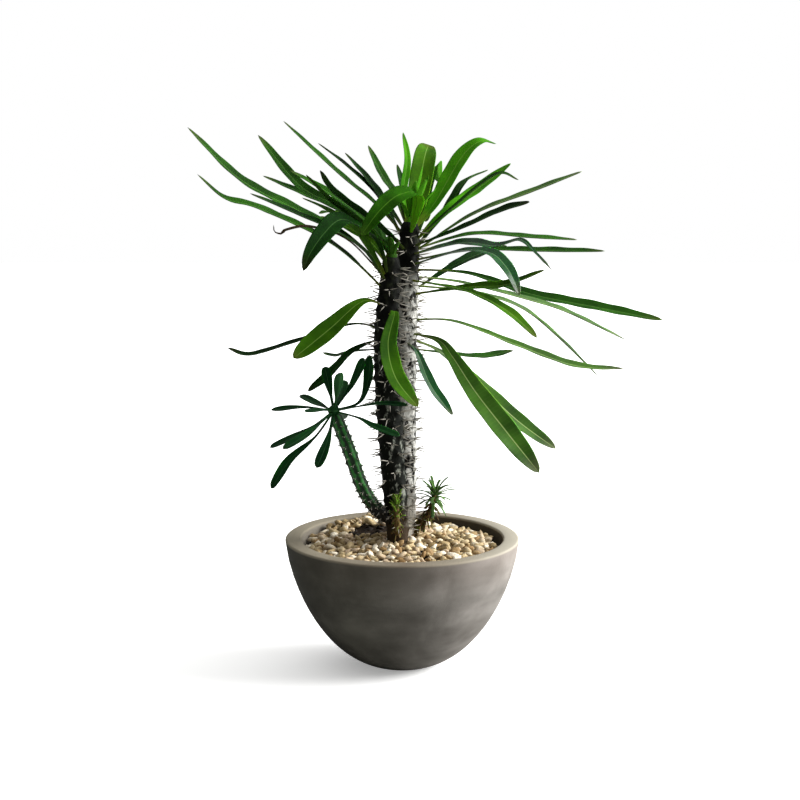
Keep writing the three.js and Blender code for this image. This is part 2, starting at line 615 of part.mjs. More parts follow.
const counts = {};
const leaves = LEAVES.map(([stem, foot, width, form, lean, ...path]) => {
  counts[stem.name] = (counts[stem.name] ?? 0) + 1;
  const name = `${stem.name}_leaf_${String(counts[stem.name]).padStart(2, '0')}`;
  return { name, stem, ...leafOn(stem, foot, width, form, lean, path) };
});
const { bud, blades: youngBlades } = shootBlades();
const tallHeart = heart(tallStem, TALL_HEART);
const shortHeart = heart(shortStem, SHORT_HEART);
const offsetShapes = [SIDE_SPROUT, FRONT_SPROUT];
const [sideSprout, frontSprout] = offsetShapes.map((shape, i) => sprout(shape, 21 + i));
const greens = [...leaves, ...youngBlades, ...tallHeart.blades, ...shortHeart.blades,
  ...sideSprout.reaches, ...frontSprout.reaches];

const tallSpace = bareStem(tallStem, FIT_GAP);
const shortSpace = bareStem(shortStem, FIT_GAP);
const shootSpace = bareStem(shootStem, FIT_GAP);
const clearOf = (body, ...spaces) => whole(spaces.reduce((rest, space) => rest.subtract(space), body));

/** A stem with its tubercles and spines, which keep off the leaves and the other stems. */
function spinyStem(stem, others, seed) {
  const armed = [bareStem(stem, 0), ...armour(stem, keepsOff(greens, others), seed)];
  return fuse(armed);
}

const shootBody = spinyStem(shootStem, [tallStem, shortStem], 13);
const budBody = solid(new THREE.IcosahedronGeometry(CROWN_CORE_RADIUS, 1).translate(...bud));
const shootCrown = fuse([budBody, ...youngBlades.map(({ body }) => body)]);

const plant = new THREE.Group();
plant.add(piece('pot', pot(), 'pot'));
plant.add(piece('soil', clearOf(soil(), tallSpace, shortSpace), 'soil'));
plant.add(piece('gravel', clearOf(gravel(), tallSpace, shortSpace), 'gravel'));
plant.add(piece('tall_stem', spinyStem(tallStem, [shortStem, shootStem, ...offsetShapes], 11), 'tallBark'));
plant.add(piece('short_stem', spinyStem(shortStem, [tallStem, shootStem, ...offsetShapes], 12), 'shortBark'));
plant.add(piece('shoot_stem', clearOf(shootBody, tallSpace, shortSpace), 'shootBark'));
plant.add(piece('shoot_crown', clearOf(shootCrown, shootSpace), 'youngLeaf'));
[['tall_heart', tallHeart], ['short_heart', shortHeart]].forEach(([name, { body }]) => {
  plant.add(piece(name, clearOf(body, tallSpace, shortSpace), 'leaf'));
});
[['side_sprout', sideSprout], ['front_sprout', frontSprout]].forEach(([name, { body }]) => {
  plant.add(piece(name, clearOf(body, tallSpace, shortSpace, shootSpace), 'offset'));
});
leaves.forEach(({ name, body }) => {
  plant.add(piece(name, clearOf(body, tallSpace, shortSpace), 'leaf'));
});

export default plant;
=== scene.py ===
"""A Madagascar palm in a round cement bowl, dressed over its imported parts.

Metres, +Z up, origin in the middle of the bowl's flat base, the front towards -Y. Sizes are
written in millimetres and turned to metres where a mesh is made.
"""

import math
import random

import bpy
import numpy as np
from mathutils import Matrix, Vector


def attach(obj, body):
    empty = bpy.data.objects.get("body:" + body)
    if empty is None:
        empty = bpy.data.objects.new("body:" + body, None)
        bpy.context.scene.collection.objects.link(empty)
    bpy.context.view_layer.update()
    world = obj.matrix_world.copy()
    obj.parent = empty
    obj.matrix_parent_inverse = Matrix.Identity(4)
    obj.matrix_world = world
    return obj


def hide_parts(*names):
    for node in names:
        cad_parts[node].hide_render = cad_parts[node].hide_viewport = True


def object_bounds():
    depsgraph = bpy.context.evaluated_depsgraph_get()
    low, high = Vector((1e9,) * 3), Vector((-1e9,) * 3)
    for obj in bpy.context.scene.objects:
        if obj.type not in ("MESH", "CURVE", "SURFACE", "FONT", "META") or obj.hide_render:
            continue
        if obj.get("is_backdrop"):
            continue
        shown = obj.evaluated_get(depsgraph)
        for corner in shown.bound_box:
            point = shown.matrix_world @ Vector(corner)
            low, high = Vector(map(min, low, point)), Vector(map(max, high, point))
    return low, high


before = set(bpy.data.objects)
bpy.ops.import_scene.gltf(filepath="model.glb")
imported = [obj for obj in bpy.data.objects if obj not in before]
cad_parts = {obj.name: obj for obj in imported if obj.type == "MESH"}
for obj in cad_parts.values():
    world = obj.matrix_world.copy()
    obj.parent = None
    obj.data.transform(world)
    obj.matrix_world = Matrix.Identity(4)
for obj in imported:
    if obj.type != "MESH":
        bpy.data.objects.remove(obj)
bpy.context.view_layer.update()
MM = 0.001

# ------------------------------------------------ bowl
# A round planter of fibre cement, pressed in a mould, rubbed smooth and sealed. Its flat rim is
# ground level, and three drain holes go through the bottom.

BOWL_HEIGHT, BOWL_RADIUS, BOWL_WALL, BOWL_FLOOR = 178, 160, 22, 20
BELOW_BASE = 4.7              # how far the outer outline would close below the flat base
RIM_EDGE = 3                  # rounding of both edges of the rim
RIM_TURNS = (0.4, 0.8, 1.2, math.pi / 2)        # steps round an edge of the rim, in radians
OUTER_RINGS, INNER_RINGS, SIDES = 34, 26, 128
DRAIN_RADIUS, DRAIN_RING, DRAINS = 6, 24, 3


def bowl_radius(height, depth, radius):
    """Radius of a bowl's wall at a height above the point where its outline closes."""
    return radius * (1 - (1 - height / depth) ** 1.5) ** (1 / 2.35)


def linear(colour):
    """An sRGB hex colour as linear red, green, blue and alpha."""
    parts = [int(colour[i:i + 2], 16) / 255 for i in (1, 3, 5)]
    return [c / 12.92 if c <= 0.04045 else ((c + 0.055) / 1.055) ** 2.4 for c in parts] + [1]


def add_node(material, kind, sockets, stops=(), **settings):
    """Adds a node with its settings; each socket takes a value or the output that feeds it."""
    node = material.node_tree.nodes.new("ShaderNode" + kind)
    for name, value in settings.items():
        setattr(node, name, value)
    for i, (place, colour) in enumerate(stops):
        ramp = node.color_ramp.elements
        stop = ramp[i] if i < 2 else ramp.new(place)
        stop.position, stop.color = place, linear(colour)
    for name, value in sockets.items():
        socket = next(s for s in node.inputs if s.identifier == name)
        if isinstance(value, bpy.types.NodeSocket):
            material.node_tree.links.new(value, socket)
        else:
            socket.default_value = value
    return next((s for s in node.outputs if s.enabled), None)


def bare_material(name):
    """A material with nothing in it yet."""
    material = bpy.data.materials.new(name)
    material.use_nodes = True
    material.node_tree.nodes.clear()
    return material


# Fibre cement, moulded and sealed: a dull grey, fine in grain, with soft clouds a hand wide. Its
# colour is darker towards the left as painted shade and paler towards the right as painted light,
# outside, on the inner wall and on the rim. It is browned under the rim, and raw where the rim is
# ground.
cement = bare_material("fibre_cement_moulded_and_sealed")
spot = add_node(cement, "TexCoord", {}).node.outputs["Object"]
axes = add_node(cement, "SeparateXYZ", {"Vector": spot}).node.outputs
clouds = add_node(cement, "TexNoise", {
    "Vector": spot, "Scale": 1 / (83.3 * MM), "Detail": 5, "Roughness": 0.55, "Distortion": 0.4})
skin = add_node(cement, "ValToRGB", {"Fac": clouds}, stops=[
    (0.3, "#5f5c56"), (0.7, "#aca7a1"), (0.52, "#8a857f")])
smears = add_node(cement, "TexNoise", {"Vector": add_node(cement, "Mapping", {
    "Vector": spot, "Scale": (1, 1, 3)}), "Scale": 1 / (125 * MM), "Detail": 5})
smears = add_node(cement, "ValToRGB", {"Fac": smears}, stops=[
    (0.35, "#5e5a54"), (0.65, "#a19c96")])
warm = add_node(cement, "MapRange", {
    "Value": axes["Z"], "From Min": 0.12, "From Max": 0.175, "To Max": 0.4})
# Share from the left of the bowl to its right, with a little of the clouds in it; it sets the
# painted shade and light below.
side = add_node(cement, "MapRange", {"Value": add_node(cement, "Math", {
    "Value": clouds, "Value_001": 0.06, "Value_002": axes["X"]}, operation="MULTIPLY_ADD"),
    "From Min": -0.13, "From Max": 0.19})
# Painted shade darkens the outside towards the left and painted light brightens it towards the
# right.
painted_light_across = add_node(cement, "ValToRGB", {"Fac": side}, stops=[
    (0, "#64675f"), (1, "#ffffff"), (0.3, "#9fa199"), (0.6, "#b7b7b4"), (0.7, "#dededd"),
    (0.85, "#efefef")])
from_axis = add_node(cement, "VectorMath", {"Vector": add_node(cement, "Mapping", {
    "Vector": spot, "Scale": (1, 1, 0)})}, operation="LENGTH").node.outputs["Value"]
inside = add_node(cement, "MapRange", {
    "Value": from_axis, "From Min": (BOWL_RADIUS - BOWL_WALL + 6) * MM,
    "From Max": (BOWL_RADIUS - BOWL_WALL + 4) * MM})
inside = add_node(cement, "Math", {"Value": inside, "Value_001": add_node(
    cement, "Math", {"Value": axes["Z"], "Value_001": 0.116}, operation="GREATER_THAN")},
    operation="MULTIPLY")
# The inner wall: a grey of its own, made darker towards the right as painted shade.
lining_with_painted_shade = add_node(cement, "ValToRGB", {"Fac": side}, stops=[(0.05, "#7a7469"), (0.5, "#443e34")])
grain = add_node(cement, "TexNoise", {"Vector": spot, "Scale": 1 / (1.11 * MM), "Detail": 2})
# The ground rim: a raw grey, made darker in the middle as painted shade and paler towards the right
# as painted light.
ground_rim_with_painted_light_and_shade = add_node(cement, "ValToRGB", {"Fac": side}, stops=[
    (0, "#87806f"), (0.95, "#a09a8c"), (0.5, "#675e51"), (0.7, "#837b6c")])
on_rim = add_node(cement, "MapRange", {
    "Value": axes["Z"], "From Min": (BOWL_HEIGHT - 3.8) * MM,
    "From Max": (BOWL_HEIGHT - 1.2) * MM})
for share, colour, way in (
        (0.5, smears, "MIX"), (warm, linear("#958980"), "MIX"), (1, painted_light_across, "MULTIPLY"),
        (inside, lining_with_painted_shade, "MIX"), (on_rim, ground_rim_with_painted_light_and_shade, "MIX")):
    skin = add_node(cement, "Mix", {
        "Factor_Float": share, "A_Color": skin, "B_Color": colour},
        data_type="RGBA", blend_type=way)
relief = add_node(cement, "Bump", {"Height": grain, "Strength": 0.25, "Distance": 0.0006})
relief = add_node(cement, "Bump", {
    "Height": clouds, "Strength": 0.3, "Distance": 0.003, "Normal": relief})
add_node(cement, "OutputMaterial", {"Surface": add_node(cement, "BsdfPrincipled", {
    "Base Color": skin, "Roughness": 0.75, "IOR": 1.5, "Specular IOR Level": 0.12,
    "Normal": relief})})

# The outline in rings, closest near the base: up the outside, over the rim and down the inside.
rings = [(bowl_radius(z + BELOW_BASE, BOWL_HEIGHT + BELOW_BASE, BOWL_RADIUS), z)
         for z in np.geomspace(1, BOWL_HEIGHT - RIM_EDGE + 1, OUTER_RINGS) - 1]
rings += [(BOWL_RADIUS - RIM_EDGE * (1 - math.cos(a)),
           BOWL_HEIGHT - RIM_EDGE * (1 - math.sin(a))) for a in RIM_TURNS]
rings += [(BOWL_RADIUS - BOWL_WALL + RIM_EDGE * (1 - math.sin(a)),
           BOWL_HEIGHT - RIM_EDGE * (1 - math.cos(a))) for a in (0, *RIM_TURNS)]
rings += [(bowl_radius(z, BOWL_HEIGHT - BOWL_FLOOR, BOWL_RADIUS - BOWL_WALL), z + BOWL_FLOOR)
          for z in (BOWL_HEIGHT - BOWL_FLOOR - RIM_EDGE) / np.geomspace(1.02, 400, INNER_RINGS)]

bpy.ops.object.select_all(action="DESELECT")
bpy.ops.mesh.primitive_circle_add(vertices=SIDES, radius=rings[0][0] * MM)
bowl = bpy.context.object
bowl.name = "cement_bowl"
bpy.ops.object.mode_set(mode="EDIT")
for (radius, height), (next_radius, next_height) in zip(rings, rings[1:]):
    bpy.ops.mesh.extrude_region_move(
        TRANSFORM_OT_translate={"value": (0, 0, (next_height - height) * MM)})
    ratio = next_radius / radius
    bpy.ops.transform.resize(value=(ratio, ratio, 1), center_override=(0, 0, next_height * MM))
bpy.ops.mesh.edge_face_add()
bpy.ops.mesh.select_all(action="DESELECT")
bpy.ops.mesh.select_non_manifold()
bpy.ops.mesh.edge_face_add()
bpy.ops.mesh.select_all(action="SELECT")
bpy.ops.mesh.normals_make_consistent(inside=False)
bpy.ops.object.mode_set(mode="OBJECT")
for turn in range(DRAINS):
    angle = math.tau * turn / DRAINS + math.pi
    bpy.ops.mesh.primitive_cylinder_add(
        vertices=32, radius=DRAIN_RADIUS * MM, depth=3 * BOWL_FLOOR * MM,
        location=(DRAIN_RING * math.cos(angle) * MM, DRAIN_RING * math.sin(angle) * MM, 0))
    drill = bpy.context.object
    bpy.context.view_layer.objects.active = bowl
    cut = bowl.modifiers.new("drain_hole", "BOOLEAN")
    cut.operation, cut.object = "DIFFERENCE", drill
    bpy.ops.object.modifier_apply(modifier=cut.name)
    bpy.data.objects.remove(drill)
bpy.ops.object.select_all(action="DESELECT")
bowl.select_set(True)
bpy.ops.object.shade_smooth_by_angle(angle=math.radians(35))
bowl.data.materials.append(cement)
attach(bowl, "root")
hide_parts("pot")

# ------------------------------------------------ potting mix
# A loose mix of composted bark, peat and grit, filled in round the roots and pressed down. It
# fills the bowl to below the gravel, and only the drain holes show it.

mix = bare_material("potting_mix_of_bark_and_peat")
spot = add_node(mix, "TexCoord", {}).node.outputs["Object"]
crumbs = add_node(mix, "TexVoronoi", {
    "Vector": spot, "Scale": 1 / (3.85 * MM)}).node.outputs["Distance"]
earth = add_node(mix, "ValToRGB", {"Fac": add_node(mix, "TexNoise", {
    "Vector": spot, "Scale": 1 / (7.14 * MM), "Detail": 4})}, stops=[
        (0.35, "#2a1e15"), (0.7, "#5a4330")])
relief = add_node(mix, "Bump", {"Height": crumbs, "Strength": 0.8, "Distance": 0.002})
add_node(mix, "OutputMaterial", {"Surface": add_node(mix, "BsdfPrincipled", {
    "Base Color": earth, "Roughness": 0.95, "Normal": relief})})
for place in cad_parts["soil"].material_slots:
    place.material = mix

# ------------------------------------------------ gravel
# Washed river gravel, 9 to 18 mm, heaped over the mix and against the wall at the back: rounded
# cream, tan and ochre pebbles of quartz and sandstone, on a bed of grit. In one place the pebbles
# sink into the grit and are tinted near black: a painted shadow.

GRAVEL_RADIUS = 128           # of the outermost pebbles
GRAVEL_TOP, GRAVEL_EDGE = 175, 164
HEAP, HEAP_REACH, HEAP_HEIGHT = (-55, 95), 60, 12
# A shadow painted on the gravel beside the stems: its middle, its reach, and how deep its pebbles
# sink.
PAINTED_SHADOW_PATCH, PAINTED_SHADOW_REACH, PAINTED_SHADOW_SINK = (-39, 38), 36, 8
OCHRE_PATCH, OCHRE_REACH = (45, -5), 25
PEBBLES, PEBBLE_SHAPES, PEBBLE_RADIUS = 820, 6, (4.8, 8.2)
SUNK, RAISED = -3.5, 1.5      # every other pebble lies in the bed, and the rest on it
BED_RADIUS, BED_BOTTOM, BED_DEPTH = 135.5, 147, 14
GOLDEN_ANGLE = math.pi * (3 - math.sqrt(5))


def near(x, y, place, reach):
    """One at a place, falling to nothing beyond its reach."""
    return math.exp(-((x - place[0]) ** 2 + (y - place[1]) ** 2) / reach ** 2)


def joined(name, parts):
    """Several meshes as one piece."""
    bpy.ops.object.select_all(action="DESELECT")
    for part in parts:
        part.select_set(True)
    bpy.context.view_layer.objects.active = parts[0]
    bpy.ops.object.join()
    parts[0].name = name
    return parts[0]


def gravel_height(x, y):
    """Height of the gravel bed in millimetres: a low mound with a heap at the back left."""
    fall = (GRAVEL_TOP - GRAVEL_EDGE) * (x * x + y * y) / GRAVEL_RADIUS ** 2
    return GRAVEL_TOP - fall + HEAP_HEIGHT * near(x, y, HEAP, HEAP_REACH)


# River pebbles, tumbled and washed: dull and pale, each of its own tint, with fine darker grains.
pebble_stone = bare_material("river_pebbles_tumbled")
spot = add_node(pebble_stone, "TexCoord", {}).node.outputs["Object"]
tint = add_node(pebble_stone, "Attribute", {}, attribute_name="tint").node.outputs["Fac"]
# The near-black tint at 0 is for the pebbles of the painted shadow.
stone = add_node(pebble_stone, "ValToRGB", {"Fac": tint}, stops=[
    (0, "#1a120b"), (0.95, "#e6decc"), (0.06, "#876c47"), (0.24, "#a8956f"), (0.5, "#baa986"),
    (0.68, "#b9a48a"), (0.8, "#c6b99e")])
grains = add_node(pebble_stone, "TexNoise", {
    "Vector": spot, "Scale": 1 / (2.38 * MM), "Detail": 4})
stone = add_node(pebble_stone, "Mix", {"Factor_Float": 0.55, "A_Color": stone, "B_Color": add_node(
    pebble_stone, "ValToRGB", {"Fac": grains}, stops=[(0.35, "#cfbb98"), (0.55, "#ffffff")])},
    data_type="RGBA", blend_type="MULTIPLY")
relief = add_node(pebble_stone, "Bump", {"Height": grains, "Strength": 0.4, "Distance": 0.001})
add_node(pebble_stone, "OutputMaterial", {"Surface": add_node(pebble_stone, "BsdfPrincipled", {
    "Base Color": stone, "Roughness": 0.6, "IOR": 1.54, "Specular IOR Level": 0.1,
    "Normal": relief})})

draw = random.Random(7)
shapes = []
for number in range(PEBBLE_SHAPES):
    bpy.ops.object.select_all(action="DESELECT")
    bpy.ops.mesh.primitive_ico_sphere_add(subdivisions=2, radius=1)
    shape = bpy.context.object
    bpy.ops.object.mode_set(mode="EDIT")
    bpy.ops.transform.vertex_random(offset=0.3, seed=number, normal=1)
    bpy.ops.transform.resize(value=(1, draw.uniform(0.6, 0.85), draw.uniform(0.42, 0.62)))
    bpy.ops.object.mode_set(mode="OBJECT")
    bpy.ops.object.shade_smooth()
    shape.data.attributes.new("tint", "FLOAT", "POINT")
    shapes.append(shape)
pebbles = []
for number in range(PEBBLES):
    reach = GRAVEL_RADIUS * math.sqrt((number + 0.5) / PEBBLES)
    x = reach * math.cos(number * GOLDEN_ANGLE) + draw.uniform(-2, 2)
    y = reach * math.sin(number * GOLDEN_ANGLE) + draw.uniform(-2, 2)
    size = draw.uniform(*PEBBLE_RADIUS)
    # Pebbles inside the painted shadow sink into the grit and take the near-black tint.
    bare = math.dist((x, y), PAINTED_SHADOW_PATCH) / PAINTED_SHADOW_REACH < draw.uniform(0.75, 1.05)
    pebble = draw.choice(shapes).copy()
    pebble.data = pebble.data.copy()
    height = gravel_height(x, y) + (SUNK if number % 2 else RAISED) + draw.uniform(-1, 1.5)
    height -= PAINTED_SHADOW_SINK * bare
    pebble.data.transform(
        Matrix.Translation(Vector((x, y, height)) * MM)
        @ Matrix.Rotation(draw.uniform(0, math.tau), 4, "Z")
        @ Matrix.Rotation(draw.gauss(0, 0.35), 4, "Y") @ Matrix.Rotation(draw.gauss(0, 0.5), 4, "X")
        @ Matrix.Diagonal((size * MM * 1.15, size * MM, size * MM, 1)))
    ochre = near(x, y, OCHRE_PATCH, OCHRE_REACH)
    shade = draw.uniform(0.05, 1) if draw.random() > 0.8 * ochre else draw.uniform(0.06, 0.25)
    shade *= not bare
    tints = pebble.data.attributes["tint"].data
    tints.foreach_set("value", [shade] * len(tints))
    bpy.context.collection.objects.link(pebble)
    pebbles.append(pebble)
for shape in shapes:
    bpy.data.objects.remove(shape)
pebbles = joined("gravel_pebbles", pebbles)

# Grit between the pebbles, sieved and damp: a brown made nearly black, as painted shade in the gaps
# and in the painted shadow.
grit = bare_material("damp_grit_with_painted_shade")
spot = add_node(grit, "TexCoord", {}).node.outputs["Object"]
specks = add_node(grit, "TexVoronoi", {
    "Vector": spot, "Scale": 1 / (2 * MM)}).node.outputs["Color"]
dust = add_node(grit, "ValToRGB", {"Fac": specks}, stops=[(0.2, "#120c07"), (0.9, "#2c1f14")])
add_node(grit, "OutputMaterial", {"Surface": add_node(grit, "BsdfPrincipled", {
    "Base Color": dust, "Roughness": 0.9, "Specular IOR Level": 0.1})})
bpy.ops.object.select_all(action="DESELECT")
bpy.ops.mesh.primitive_cylinder_add(
    vertices=96, radius=BED_RADIUS * MM, depth=BED_DEPTH * MM,
    location=(0, 0, (BED_BOTTOM + BED_DEPTH / 2) * MM), end_fill_type="TRIFAN")
bed = bpy.context.object
bed.name = "gravel_bed"
bpy.ops.object.transform_apply(location=True)
bpy.ops.object.mode_set(mode="EDIT")
bpy.ops.mesh.subdivide(number_cuts=5)
bpy.ops.object.mode_set(mode="OBJECT")
for corner in bed.data.vertices:
    x, y, z = corner.co / MM
    if z > BED_BOTTOM + BED_DEPTH - 1:
        corner.co.z = (gravel_height(x, y) - 4) * MM
bpy.ops.object.shade_smooth_by_angle(angle=math.radians(35))
for layer, finish in ((pebbles, pebble_stone), (bed, grit)):
    layer.data.materials.append(finish)
    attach(layer, "root")
    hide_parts("gravel")

# ------------------------------------------------ stems
# Two succulent stems with a corky grey bark. Each is studded with low tubercles in a spiral, one
# below each place where a leaf stood, and tapers to a root in the potting mix.

# "lowest" is the height of the lowest tubercle, and "bump" how high each stands and reaches.
TALL_STEM = {
    "points": [(4, 17, 100), (3, 17, 180), (2, 18, 300), (2, 17, 420), (6, 16, 505), (10, 16, 598)],
    "radii": [8, 15.5, 17, 17, 15.5, 12], "lowest": 188, "tubercles": 150, "bump": (2.2, 4.2)}
SHORT_STEM = {
    "points": [(-6, -20, 100), (-6, -20, 180), (-14, -20, 300), (-20, -20, 390), (-21, -20, 465),
               (-15, -20, 555)],
    "radii": [8, 14.5, 16.5, 16.5, 15.5, 11.5], "lowest": 192, "tubercles": 138, "bump": (2.2, 4.2)}
LINE_SHARES = np.linspace(0, 1, 401)          # where a smooth line's points lie along it
ROUND_TOP = 0.97                              # share of a stem's skin below its round top


def smooth_line(points):
    """Points along a smooth curve that goes through the given ones."""
    at = np.array(points, float)
    at = np.vstack([2 * at[0] - at[1], at, 2 * at[-1] - at[-2]])
    way = np.linspace(0, len(points) - 1, len(LINE_SHARES))
    i = np.minimum(way.astype(int), len(points) - 2)
    part = (way - i)[:, None]
    a, b, c, d = at[i], at[i + 1], at[i + 2], at[i + 3]
    start, end = (c - a) / 2, (d - b) / 2
    return b + start * part + (3 * (c - b) - 2 * start - end) * part ** 2 + (
        2 * (b - c) + start + end) * part ** 3


def unit(vectors):
    """Vectors of length one."""
    return vectors / np.linalg.norm(vectors, axis=-1, keepdims=True)


def read_off(at, places, points):
    """Points read off a line at new places, between the places where it is known."""
    return np.stack([np.interp(at, places, column) for column in points.T], -1)


def share_at(stem, height):
    """Share of a stem's length at a height."""
    return np.interp(height, smooth_line(stem["points"])[:, 2], LINE_SHARES)


def stem_frame(stem, shares):
    """Centres, radii and the three directions of a stem's sections at shares of its length."""
    line = smooth_line(stem["points"])
    centre = read_off(shares, LINE_SHARES, line)
    along = unit(read_off(shares, LINE_SHARES, np.gradient(line, axis=0)))
    across = unit(np.array([0.0, 1, 0]) - along * along[:, 1:2])
    radius = np.interp(shares, np.linspace(0, 1, len(stem["radii"])), stem["radii"])
    return centre, radius, along, across, np.cross(across, along)


def section(stem, share):
    """Centre, radius and the three directions of one section."""
    return (values[0] for values in stem_frame(stem, np.array([share])))


def tubercle_places(stem, seed):
    """Share and angle of each tubercle, in a golden-angle spiral, and a repeatable draw."""
    draw = random.Random(seed)
    lowest = share_at(stem, stem["lowest"])
    count = stem["tubercles"]
    return [(lowest + (0.995 - lowest) * (i + 0.5) / count,
             i * GOLDEN_ANGLE + draw.uniform(-0.12, 0.12)) for i in range(count)], draw


def rolled_skin(name, columns, rows, place):
    """A closed skin from a grid that is rolled up. Its columns run along the piece and its rows
    round it; place turns the shares along and round into points in millimetres."""
    bpy.ops.object.select_all(action="DESELECT")
    bpy.ops.mesh.primitive_grid_add(x_subdivisions=columns, y_subdivisions=rows, size=1)
    skin = bpy.context.object
    skin.name = name
    flat = np.empty(len(skin.data.vertices) * 3, np.float32)
    skin.data.vertices.foreach_get("co", flat)
    flat = flat.reshape(-1, 3).astype(float)
    points = place(flat[:, 0] + 0.5, flat[:, 1] + 0.5) * MM
    skin.data.vertices.foreach_set("co", points.astype(np.float32).ravel())
    bpy.ops.object.mode_set(mode="EDIT")
    bpy.ops.mesh.select_all(action="SELECT")
    bpy.ops.mesh.remove_doubles(threshold=1e-6)
    bpy.ops.mesh.normals_make_consistent(inside=False)
    bpy.ops.object.mode_set(mode="OBJECT")
    bpy.ops.object.shade_smooth()
    return skin


def stem_skin(name, stem, seed, rows=64, columns=260):
    """A stem with its tubercles raised from the skin and a round top."""
    places, _ = tubercle_places(stem, seed)
    spots = np.array(places)
    foot, size, _, across, right = stem_frame(stem, spots[:, 0])
    angle = spots[:, 1:2]
    outward = right * np.cos(angle) + across * np.sin(angle)
    foot = foot + outward * size[:, None]

    def place(along_share, round_share):
        shares = np.minimum(along_share / ROUND_TOP, 1)
        centre, radius, along, across, right = stem_frame(stem, shares)
        cap = np.clip((along_share - ROUND_TOP) / (1 - ROUND_TOP), 0, 1)
        root = np.clip(along_share / 0.01, 0, 1)
        angle = math.tau * round_share[:, None]
        outward = right * np.cos(angle) + across * np.sin(angle)
        spread = radius * np.sqrt(1 - cap ** 2) * np.sqrt(root)
        rise = radius * cap
        bare = centre + outward * spread[:, None] + along * rise[:, None]
        gap = np.linalg.norm(bare[:, None, :] - foot[None, :, :], axis=2).min(axis=1)
        height, reach = stem["bump"]
        bump = height * np.exp(-(gap / reach) ** 2) * (cap < 1)
        if "ribs" in stem:
            bump += 0.5 * np.cos(stem["ribs"] * angle[:, 0]) * (cap < 1) * root
        return bare + outward * bump[:, None]

    return rolled_skin(name, columns, rows, place)


def bark(name, pale, dark, foot, share_pale, crown):
    """Corky bark: pale weathered patches over dark, a foot of its own tint, nearly black at the
    top.
    """
    material = bare_material(name)
    spot = add_node(material, "TexCoord", {}).node.outputs["Object"]
    level = add_node(material, "SeparateXYZ", {"Vector": spot}).node.outputs["Z"]
    patches = add_node(material, "TexNoise", {"Vector": add_node(material, "Mapping", {
        "Vector": spot, "Scale": (1, 1, 0.5)}), "Scale": 1 / (8.7 * MM), "Detail": 5,
        "Roughness": 0.65})
    skin = add_node(material, "ValToRGB", {"Fac": patches}, stops=[
        (0.62 - share_pale, dark), (0.71 - share_pale, pale)])
    fine = add_node(material, "TexNoise", {
        "Vector": spot, "Scale": 1 / (2.38 * MM), "Detail": 3})
    skin = add_node(material, "Mix", {"Factor_Float": 0.5, "A_Color": skin, "B_Color": add_node(
        material, "ValToRGB", {"Fac": fine}, stops=[(0.3, "#6f6f6f"), (0.65, "#ffffff")])},
        data_type="RGBA", blend_type="MULTIPLY")
    low = add_node(material, "MapRange", {"Value": level, "From Min": 0.235, "From Max": 0.19})
    high = add_node(material, "MapRange", {
        "Value": level, "From Min": crown - 0.04, "From Max": crown})
    # Towards its top the bark turns nearly black.
    nearly_black_top = add_node(material, "ValToRGB", {"Fac": patches}, stops=[
        (0.5, "#060704"), (0.75, "#2c3120")])
    for share, colour in ((low, linear(foot)), (high, nearly_black_top)):
        skin = add_node(material, "Mix", {
            "Factor_Float": share, "A_Color": skin, "B_Color": colour}, data_type="RGBA")
    relief = add_node(material, "Bump", {"Height": patches, "Strength": 0.6, "Distance": 0.002})
    relief = add_node(material, "Bump", {
        "Height": fine, "Strength": 0.5, "Distance": 0.0008, "Normal": relief})
    add_node(material, "OutputMaterial", {"Surface": add_node(material, "BsdfPrincipled", {
        "Base Color": skin, "Roughness": 0.7, "IOR": 1.45, "Specular IOR Level": 0.1,
        "Normal": relief})})
    return material


# Weathered bark: silver-grey with black scars on the older stem, black with pale ones on the other.
# The taller stem's cream foot is brightened almost to white as painted light.
silver_bark = bark("weathered_silver_bark", "#cbcac3", "#14130f", "#fbf5e6", 0.19, 0.545)
black_bark = bark("dark_corky_bark", "#8a8d82", "#0d100a", "#382d20", 0.06, 0.48)
for name, stem, seed, node, finish, slot in (
        ("tall_stem_bark", TALL_STEM, 11, "tall_stem", silver_bark, "tall_bark"),
        ("short_stem_bark", SHORT_STEM, 12, "short_stem", black_bark, "short_bark")):
    trunk = stem_skin(name, stem, seed)
    trunk.data.materials.append(finish)
    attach(trunk, "root")
    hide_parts(node)

# ------------------------------------------------ large leaves
# Leathery blades, narrow at the foot, with a pale midrib in a shallow fold and fine side veins.
# Old leaves are nearly black; new ones stand bright in the middle of the crown. Each leaf's skin is
# also picked darker where it stands in shade and brighter where it is lit, as painted shade and
# light.

BLADE_FOLD = 0.11             # both edges lie this share of the width above the midrib
PETIOLE_WIDTH = 4
PETIOLE_DEPTH = 0.6           # how far a leaf's foot is let into the stem, as a share of its radius
NARROW, FULL, BROAD = (1.3, 0.55), (0.85, 0.6), (0.4, 0.3)
WITHERED, SPOON = (1, 1.6), (2.2, 0.5)
